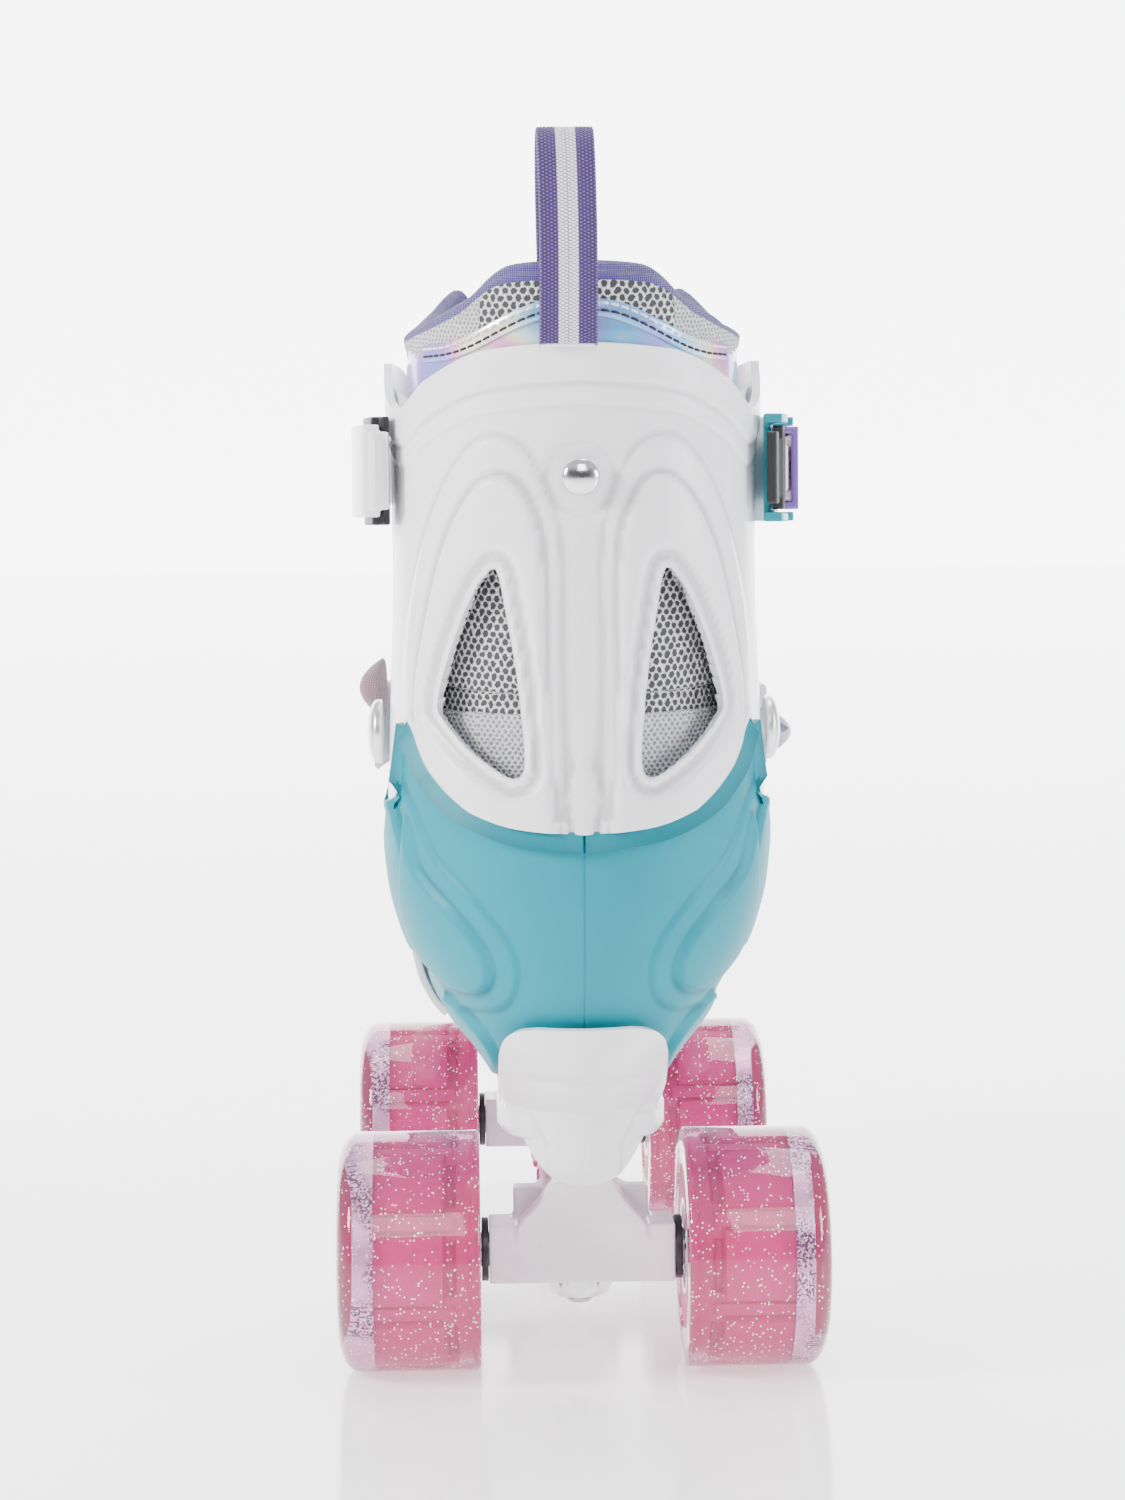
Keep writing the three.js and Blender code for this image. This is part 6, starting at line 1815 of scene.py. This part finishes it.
@dataclass
class PowerStrap:
    """The silver band over the instep, with its folded tail on one side and its tab on the other."""

    form: BootForm
    half: float = 10.0
    centre: tuple[float, float, float] = (0, 30, 130)

    def line(self, stand: float, count: int = 90) -> tuple[Array, Array]:
        """Returns the band's middle line and the direction over its width."""
        t = np.linspace(-1, 1, count)
        a = t * math.pi / 2
        lean = np.cos(a)
        path = np.stack(
            [(43.4 + stand) * np.sign(t) * np.abs(np.sin(a)) ** 1.1, 42 + (33 + stand) * lean,
             143 + (9.5 + stand * 0.8) * lean**2], -1)
        tilt = 0.7 * lean**2
        return path, np.stack([0 * t, -tilt, np.sqrt(1 - tilt**2)], -1)

    def make(self) -> None:
        """Builds the strap."""
        path, across = self.line(1.7)
        out = np.cross(across, headings(path))
        out = facing_out(out, path, self.centre)
        out /= np.linalg.norm(out, axis=1)[:, None]
        main = build("power_strap_band", band(path, across, out, self.half - 0.2, 1.7, 25), 50)
        finish_piece(main, "boot", "silver_webbing", Look.SILVER, stands_for=["power_strap"])
        declare_sheet(main, 2 * self.half - 0.4)
        over, across2 = self.line(3.6)
        part = slice(14, 60)
        out2 = np.cross(across2, np.gradient(over, axis=0))
        out2 = facing_out(out2, over, self.centre)
        out2 /= np.linalg.norm(out2, axis=1)[:, None]
        tail = band(over[part], across2[part], out2[part], self.half - 1.4, 1.2, 21)
        tail = finish_piece(build("power_strap_tail", tail, 50), "boot", "silver_webbing", Look.SILVER)
        declare_sheet(tail, 2 * self.half - 2.8)
        tail_line = [(43.9, 36.5), (46.2, 35.2), (48.3, 36.2), (49.0, 39.5), (48.3, 44), (45.8, 48)]
        self.fold(-1, Look.PINK_CLOTH, tail_line, 153, 6.8)
        self.fold(1, Look.SILVER, [(45.0, 38), (47.2, 35.5), (49.3, 33.6), (51.2, 32.4)], 142, 5.4)

    def fold(self, side: int, look: Look, line: Sequence[tuple[float, float]], z: float, half: float) -> None:
        """Builds the short end of the webbing that stands out at one ankle."""
        curve = curve_through(line, 40, closed=False)
        path = np.stack([side * curve[:, 0], curve[:, 1], z + 0 * curve[:, 0]], -1)
        across = np.tile([0.0, 0.25, 0.968], (len(path), 1))
        out = np.cross(across, np.gradient(path, axis=0))
        out /= np.linalg.norm(out, axis=1)[:, None]
        hand = "left" if side < 0 else "right"
        shape = band(path, across, out, half, 1.1, 13)
        swell = 1 - 0.85 * np.clip(np.abs(shape.verts[:, 2] - z) / half, 0, 1) ** 2
        base = side * line[0][0]
        shape.verts[:, 0] = base + (shape.verts[:, 0] - base) * swell
        made = build(f"power_strap_end_{hand}", shape, 50)
        finish_piece(made, "boot", "silver_webbing", look)


@dataclass
class Buckle:
    """The ratchet buckle, its ladder strap and the strap's anchor."""

    form: BootForm

    def skin(self, y: Array) -> Array:
        """Returns the leg's half width at the strap's height."""
        sizes = self.form.sizes
        spine = float(self.form.spine(sizes.strap_z))
        share = np.clip((sizes.leg_y - np.asarray(y, float)) / (sizes.leg_y - spine), 0, 0.999)
        rear = float(self.form.heel(sizes.strap_z)) * np.sqrt(1 - share**2)
        return np.where(np.asarray(y) <= sizes.leg_y, rear, self.form.side_width(y, sizes.strap_z))

    def strip(
        self, side: int, ys: Sequence[float], near: float, far: float, low: float, high: float
    ) -> Shape:
        """Returns a strip that follows the leg, standing off it from near to far."""
        y = np.linspace(ys[0], ys[1], 12)
        skin = self.skin(y)
        outline = [(side * (s + near), v) for s, v in zip(skin, y)]
        outline += [(side * (s + far), v) for s, v in zip(skin[::-1], y[::-1])]
        return prism_shape(outline, self.form.sizes.strap_z + low, self.form.sizes.strap_z + high)

    def soft(self, name: str, shapes: Sequence[Shape], body: str, slot: str, look: Look, nodes: Sequence[str],
             voxel: float = 0.32) -> None:
        """Fuses shapes into one small moulding and finishes it."""
        made = moulded(name, shapes, voxel, 2)
        finish_piece(made, body, slot, look, stands_for=nodes)

    def strap(self) -> None:
        """Builds the ladder strap with its row of teeth."""
        left = [(-(float(self.skin(y)) + 3.3), y) for y in (-8, 0, 8, 16, 26, 36)]
        shin = [(-33.5, 50), (-22, 61), (-9, 66.5), (9, 66.5), (22, 61), (32.5, 50)]
        right = [(float(self.skin(y)) + 3.0, y) for y in (36, 28, 20, 12, 4)]
        curve = curve_through([*left, *shin, *right], 900, closed=False)
        path = np.stack([curve[:, 0], curve[:, 1], np.full(len(curve), self.form.sizes.strap_z)], -1)
        across = np.tile([0.0, 0.0, 1.0], (len(path), 1))
        out = np.cross(headings(path), across)
        out = facing_out(out, path, (0, 12, 203.5))
        columns = 23
        shape = band(path, across, out, 7.4, 2.0, columns)
        ring = 2 * columns + 1  # points round the band's section
        length = shape.uv[:, 1]
        teeth = np.clip((length / 2.6) % 1, 0, 1) ** 1.5
        face = (np.abs(shape.uv[:, 0]) < 5.2) & (length > 70)
        rows = np.repeat(np.arange(len(path)), ring)
        top = np.zeros(len(shape.verts), bool)
        normal = np.zeros_like(shape.verts)
        normal[: len(rows)] = out[rows]
        offset = ((shape.verts[: len(rows)] - path[rows]) * out[rows]).sum(1)
        top[: len(rows)] = offset > 1.2
        raise_by = np.where(face & top, 0.75 * teeth, 0)
        shape.verts = shape.verts + normal * raise_by[:, None]
        made = build("ladder_strap_band", shape, 35)
        finish_piece(made, "cuff", "white_plastic", Look.WHITE, stands_for=["ladder_strap"])

    def make(self) -> None:
        """Builds the buckle, strap and anchor."""
        self.strap()
        strip = self.strip
        # the black anchor block sits where the gap between the cuff and the white mount falls in shadow; its
        # black is painted shadow as well as the anchor's colour
        self.soft("strap_anchor_block",
                  [strip(-1, (-5, 13), 0.7, 2.4, -12, 12), strip(-1, (-4, 8), 2.2, 4.4, 9, 12),
                   strip(-1, (-4, 8), 2.2, 4.4, -12, -9)],
                  "cuff", "black_plastic", Look.BLACK, ["strap_anchor"])
        self.soft("strap_anchor_cover",
                  [strip(-1, (-7.5, 15), 1.8, 5.8, -8.6, 8.6),
                   strip(-1, (-6.5, 12), 3.4, 7.0, -10.2, 10.2)],
                  "cuff", "white_plastic", Look.WHITE, [])
        self.soft("buckle_base_moulding",
                  [strip(1, (-1.5, 36), 0.7, 2.2, -12, 12), strip(1, (25, 36), 1.6, 10.2, -12, -9.9),
                   strip(1, (25, 36), 1.6, 10.2, 9.9, 12), strip(1, (-5, 6), 1.6, 5.6, -12, -9.9),
                   strip(1, (-5, 6), 1.6, 5.6, 9.9, 12)],
                  "cuff", "teal_plastic", Look.TEAL, ["buckle_base"])
        self.soft("buckle_lever_moulding",
                  [strip(1, (4.5, 31), 2.6, 8.0, -9.3, -7.7), strip(1, (4.5, 31), 2.6, 8.0, 7.7, 9.3),
                   strip(1, (4.5, 31), 6.4, 8.0, -9.3, 9.3), strip(1, (29, 35), 6.4, 9.8, -9.3, 9.3)],
                  "buckle_lever", "purple_plastic", Look.PURPLE, ["buckle_lever"])
        self.soft("buckle_release_tab",
                  [strip(1, (-8, 3), 3.1, 4.6, -6.5, 6.5), strip(1, (-8, -5.5), 2.9, 5.2, -8, 8),
                   strip(1, (-2.6, 0.8), 2.9, 5.4, -9.3, 9.3)],
                  "buckle_release", "black_plastic", Look.BLACK, ["buckle_release"])
        x = float(self.skin(33)) + 8.5
        pin = turned_up([(0, 191.3), (1.2, 191.3), (1.2, 215.7), (0, 215.7)], 20).moved((x, 33, 0))
        finish_piece(build("buckle_pin_rod", pin), "cuff", "steel", Look.STEEL, stands_for=["buckle_pin"])


@dataclass
class PullLoop:
    """The purple webbing loop with its white stripe, up outside the collar and down inside."""

    pitch: float = 0.76
    half: float = 6.2
    columns: int = 67
    thread: float = 0.78

    def make(self) -> None:
        """Builds the loop with its woven ribs."""
        line = [
            (-37.2, 229.5), (-35.6, 233), (-34.2, 240), (-33.4, 248), (-33, 258), (-32.6, 267),
            (-30.4, 273.2), (-26.4, 275.9), (-22.4, 273.4), (-20.4, 266), (-20.0, 257), (-19.8, 248),
            (-19.6, 238),
        ]
        curve = curve_through(line, 480, closed=False)
        step = distance_along(curve)
        rows = int(step[-1] / self.pitch * 6)
        s = np.linspace(0, step[-1], rows)
        y, z = (np.interp(s, step, curve[:, k]) for k in range(2))
        sway = 0.3 * np.sin(s / step[-1] * 7) - 2.3
        path = np.stack([sway, y, z], -1)
        across = np.tile([1.0, 0, 0], (rows, 1))
        out = np.cross(headings(path), across)
        shape = band(path, across, out, self.half, 1.3, self.columns)
        u, v = shape.uv[:, 0], shape.uv[:, 1]
        rib = 0.5 + 0.5 * np.cos(2 * math.pi * v / self.pitch + math.pi * np.floor(u / self.thread))
        column = np.abs(np.sin(math.pi * u / self.thread)) ** 0.5
        lift = rib * column
        rows_of = np.minimum(np.arange(len(u)) // (2 * self.columns + 1), rows - 1)
        fade = np.clip(np.minimum(v, v.max() - v) / 0.8, 0, 1)
        side = np.sign(((shape.verts - path[rows_of]) * out[rows_of]).sum(1) - 0.65)
        moved = shape.verts + out[rows_of] * (side * 0.22 * (lift - 0.5) * fade)[:, None]
        # the lift mask also drives the painted highlight on the rib crests and the painted shade between them
        shape = Shape(moved, shape.faces, shape.uv, {"lift": lift})
        made = build("pull_loop_webbing", shape, 70)
        finish_piece(made, "cuff", "purple_webbing", Look.LOOP, stands_for=["pull_loop"])
        declare_sheet(made, 2 * self.half)


# ---------------------------------------------------------------- toe
@dataclass
class Toe:
    """The sliding toe cap, the toe stop under it and the button that frees the slide."""

    form: BootForm

    def start(self, z: Array) -> Array:
        """Returns the y of the cap's back edge at a height."""
        return Profile((50, 115), (80, 115), (96, 123), (130, 135))(z)

    def cap(self) -> Shape:
        """Returns the cap's outer sheet, from one bottom edge over the top to the other."""
        front = self.form.sizes.toe_front
        level = np.sin(np.linspace(0, 1, 60) * math.pi / 2)
        level = np.concatenate([level, level[::-1]])
        side = np.repeat([1.0, -1.0], 60)
        t = 1 - (1 - np.linspace(0, 1, 90)) ** 1.5
        y = 115 + (front - 115) * t[None, :] + 0 * level[:, None]
        for _ in range(4):
            z = mix(self.form.sole(y) + 0.4, self.form.crown(y) - 0.3, level[:, None])
            start = self.start(z)
            y = start + (front - start) * t[None, :]
        x = self.form.fore_width(y, z) * side[:, None]
        points = np.stack([x, y, z], -1)
        out = facing_out(normals(points), points, (0, 120, 85))
        bumper = smoothstep(84, 82, z + 0.12 * (y - 180)) * smoothstep(150, 158, y)
        edge = smoothstep(5.5, 4.0, y - start)
        rib = ridge(z - 92 - 0.1 * (y - 150), 1.6) * smoothstep(128, 138, y) * smoothstep(192, 180, y)
        height = 0.5 * bumper + 0.5 * edge + 0.45 * rib - 0.85
        points = points + out * height[..., None]
        tip = points[:, -1:].copy()
        middle = tip.mean(0, keepdims=True)
        rings = [middle + (tip - middle) * k + [0, 0.35 * (1 - k), 0] for k in (0.92, 0.7, 0.35, 0.02)]
        return grid_shape(np.concatenate([points, *rings], 1))

    def sole(self) -> Shape:
        """Returns the cap's flat underside, ahead of the deck."""
        y = np.linspace(143, 211.6, 40)
        half = self.form.foot(y) * 0.78 - 0.3
        z = self.form.sole(y) + 0.5
        x = np.linspace(-1, 1, 21)
        points = np.stack(np.broadcast_arrays(x[:, None] * half[None, :], y[None, :], z[None, :]), -1)
        return grid_shape(points)

    def stop(self) -> None:
        """Builds the toe stop and its bolt."""
        body = rounded([
            (3.3, -0.4), (9.5, -0.4), (11, -4.4), (14.5, -6.4), (16.8, -7.8), (18, -10.4), (18, -18.4),
            (16.6, -20.2), (13.4, -20.4), (12.8, -19.6), (11.6, -19.6), (11, -20.4), (7, -20.4),
            (6.6, -13.6), (3.3, -13.4),
        ], 0.5, 2)
        stop = turned_up([*body, body[0]], 64)
        made = build("toe_stop_cast", stop.turned(TOE_STOP_TILT).moved(TOE_STOP_AT))
        finish_piece(made, "boot", "soft_urethane", Look.SOFT, stands_for=["toe_stop"])
        bolt = turned_up([
            (0, -16.6), (2.2, -16.6), (2.4, -17.8), (4.4, -17.8), (5, -17.2), (5, -13.9), (2.5, -13.8),
            (2.5, 9), (0, 9),
        ], 40)
        made = build("toe_stop_bolt_head", bolt.turned(TOE_STOP_TILT).moved(TOE_STOP_AT))
        finish_piece(made, "boot", "steel", Look.STEEL, stands_for=["toe_stop_bolt"])

    def make(self) -> None:
        """Builds the toe."""
        wall = thicken(build("toe_cap_moulding", self.cap(), 50), 1.8, 0.5)
        finish_piece(wall, "toe", "white_plastic", Look.WHITE, stands_for=["toe_cap"])
        sole = thicken(build("toe_cap_sole", self.sole(), 50), -1.6, 0.3)
        finish_piece(sole, "toe", "white_plastic", Look.WHITE)
        self.stop()
        ribs = [box_shape((22.6, y - 0.6, 57.6), (24.4, y + 0.6, 60.6)) for y in (91, 93.5, 96, 98.5, 101)]
        body = box_shape((14, 89.6, 57.5), (23.4, 102.4, 60.7))
        button = moulded("size_button_moulding", [body, *ribs], 0.3, 1)
        finish_piece(button, "size_button", "purple_plastic", Look.PURPLE, stands_for=["size_button"])


# ---------------------------------------------------------------- studio
@dataclass
class Studio:
    """The camera, a glossy white floor and soft high-key light."""

    lens: float = 74.0
    place: tuple[float, float, float] = (-0.0238, -0.691, 0.1951)
    yaw: float = 1.70
    pitch: float = 4.50
    roll: float = 0.53
    bright: float = 0.8
    dark: float = 0.12

    def camera(self) -> None:
        """Makes the camera behind and above the heel."""
        data = bpy.data.cameras.new("camera")
        data.lens = self.lens
        data.sensor_width = 36
        made = bpy.data.objects.new("camera", data)
        bpy.context.scene.collection.objects.link(made)
        made.location = Vector(self.place) + Vector((0, SHIFT_Y, 0))
        aim = Matrix.Rotation(-math.radians(self.yaw), 4, "Z")
        aim @= Matrix.Rotation(math.radians(90 - self.pitch), 4, "X")
        aim @= Matrix.Rotation(math.radians(-self.roll), 4, "Z")
        made.rotation_euler = aim.to_euler()
        data.clip_start, data.clip_end = 0.02, 50
        bpy.context.scene.camera = made

    def floor(self) -> None:
        """Makes the floor."""
        data = bpy.data.meshes.new("floor")
        data.from_pydata([(-6, -4, 0), (6, -4, 0), (6, 9, 0), (-6, 9, 0)], [], [(0, 1, 2, 3)])
        made = bpy.data.objects.new("floor", data)
        made.location.z = -0.0002
        bpy.context.scene.collection.objects.link(made)
        s = Shading("floor")
        s.put(Base_Color=(0.93, 0.92, 0.92), Roughness=0.12, Specular_IOR_Level=0.5)
        s.put(Emission_Color=(1.0, 0.99, 1.0), Emission_Strength=0.75)
        data.materials.append(s.material)

    def light(
        self, name: str, place: Sequence[float], size: float, power: float, tint: Sequence[float]
    ) -> None:
        """Makes an area light that faces the skate."""
        data = bpy.data.lights.new(name, "AREA")
        data.size, data.energy, data.color = size, power, tint
        made = bpy.data.objects.new(name, data)
        made.location = Vector(place)
        made.rotation_euler = (Vector((0, 0, 0.12)) - Vector(place)).to_track_quat("-Z", "Y").to_euler()
        bpy.context.scene.collection.objects.link(made)

    def make(self) -> None:
        """Builds the studio."""
        self.camera()
        self.floor()
        self.world()
        self.backdrop()
        self.light("key", (-1.3, -0.55, 0.75), 0.4, 34, (1, 0.99, 0.97))
        self.light("fill", (1.4, -0.45, 0.45), 0.5, 16, (0.96, 0.98, 1))
        self.light("front", (0.15, -1.5, 1.1), 0.7, 10, (1, 1, 1))
        self.light("top", (0.15, 0.2, 1.5), 0.8, 16, (1, 1, 1))

    def world(self) -> None:
        """Makes bright surroundings that darken behind the camera, for contrast in what shines."""
        made = bpy.data.worlds.new("studio")
        made.use_nodes = True
        tree = made.node_tree
        split = tree.nodes.new("ShaderNodeSeparateXYZ")
        tree.links.new(tree.nodes.new("ShaderNodeTexCoord").outputs["Generated"], split.inputs[0])
        shares = []
        for axis, low, high in ((1, -0.85, -0.35), (2, 0.25, 0.6)):
            reach = tree.nodes.new("ShaderNodeMapRange")
            reach.interpolation_type = "SMOOTHSTEP"
            tree.links.new(split.outputs[axis], reach.inputs[0])
            reach.inputs[1].default_value, reach.inputs[2].default_value = low, high
            shares.append(reach.outputs[0])
        most = tree.nodes.new("ShaderNodeMath")
        most.operation = "MAXIMUM"
        tree.links.new(shares[0], most.inputs[0])
        tree.links.new(shares[1], most.inputs[1])
        level = tree.nodes.new("ShaderNodeMapRange")
        tree.links.new(most.outputs[0], level.inputs[0])
        level.inputs[3].default_value, level.inputs[4].default_value = self.dark, self.bright
        back = tree.nodes["Background"]
        back.inputs[0].default_value = (0.98, 0.98, 1.0, 1)
        tree.links.new(level.outputs[0], back.inputs[1])
        bpy.context.scene.world = made

    def backdrop(self) -> None:
        """Makes a bright paper far beyond the skate."""
        data = bpy.data.meshes.new("backdrop")
        data.from_pydata([(-7, 8.9, -0.001), (7, 8.9, -0.001), (7, 8.9, 7), (-7, 8.9, 7)], [], [(0, 1, 2, 3)])
        made = bpy.data.objects.new("backdrop", data)
        bpy.context.scene.collection.objects.link(made)
        s = Shading("backdrop")
        s.put(Base_Color=(0.9, 0.9, 0.9), Emission_Color=(1.0, 1.0, 1.0), Emission_Strength=6.0)
        data.materials.append(s.material)


def main() -> None:
    """Builds the skate, piece by piece."""
    logging.basicConfig(level=logging.INFO, format="%(message)s")
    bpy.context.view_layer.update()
    Studio().make()
    cuff = Cuff(FORM)
    cuff.make()
    HeelShell(FORM, cuff).make()
    Plate(FORM).make()
    Liner(FORM).make()
    Laces(FORM).make()
    PowerStrap(FORM).make()
    Buckle(FORM).make()
    PullLoop().make()
    Toe(FORM).make()
    for end in ("rear", "front"):
        Truck(end, SIZES).make()
        for hand in ("left", "right"):
            Wheel(end, hand, SIZES).make()
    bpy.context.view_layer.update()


if __name__ == "__main__":
    main()
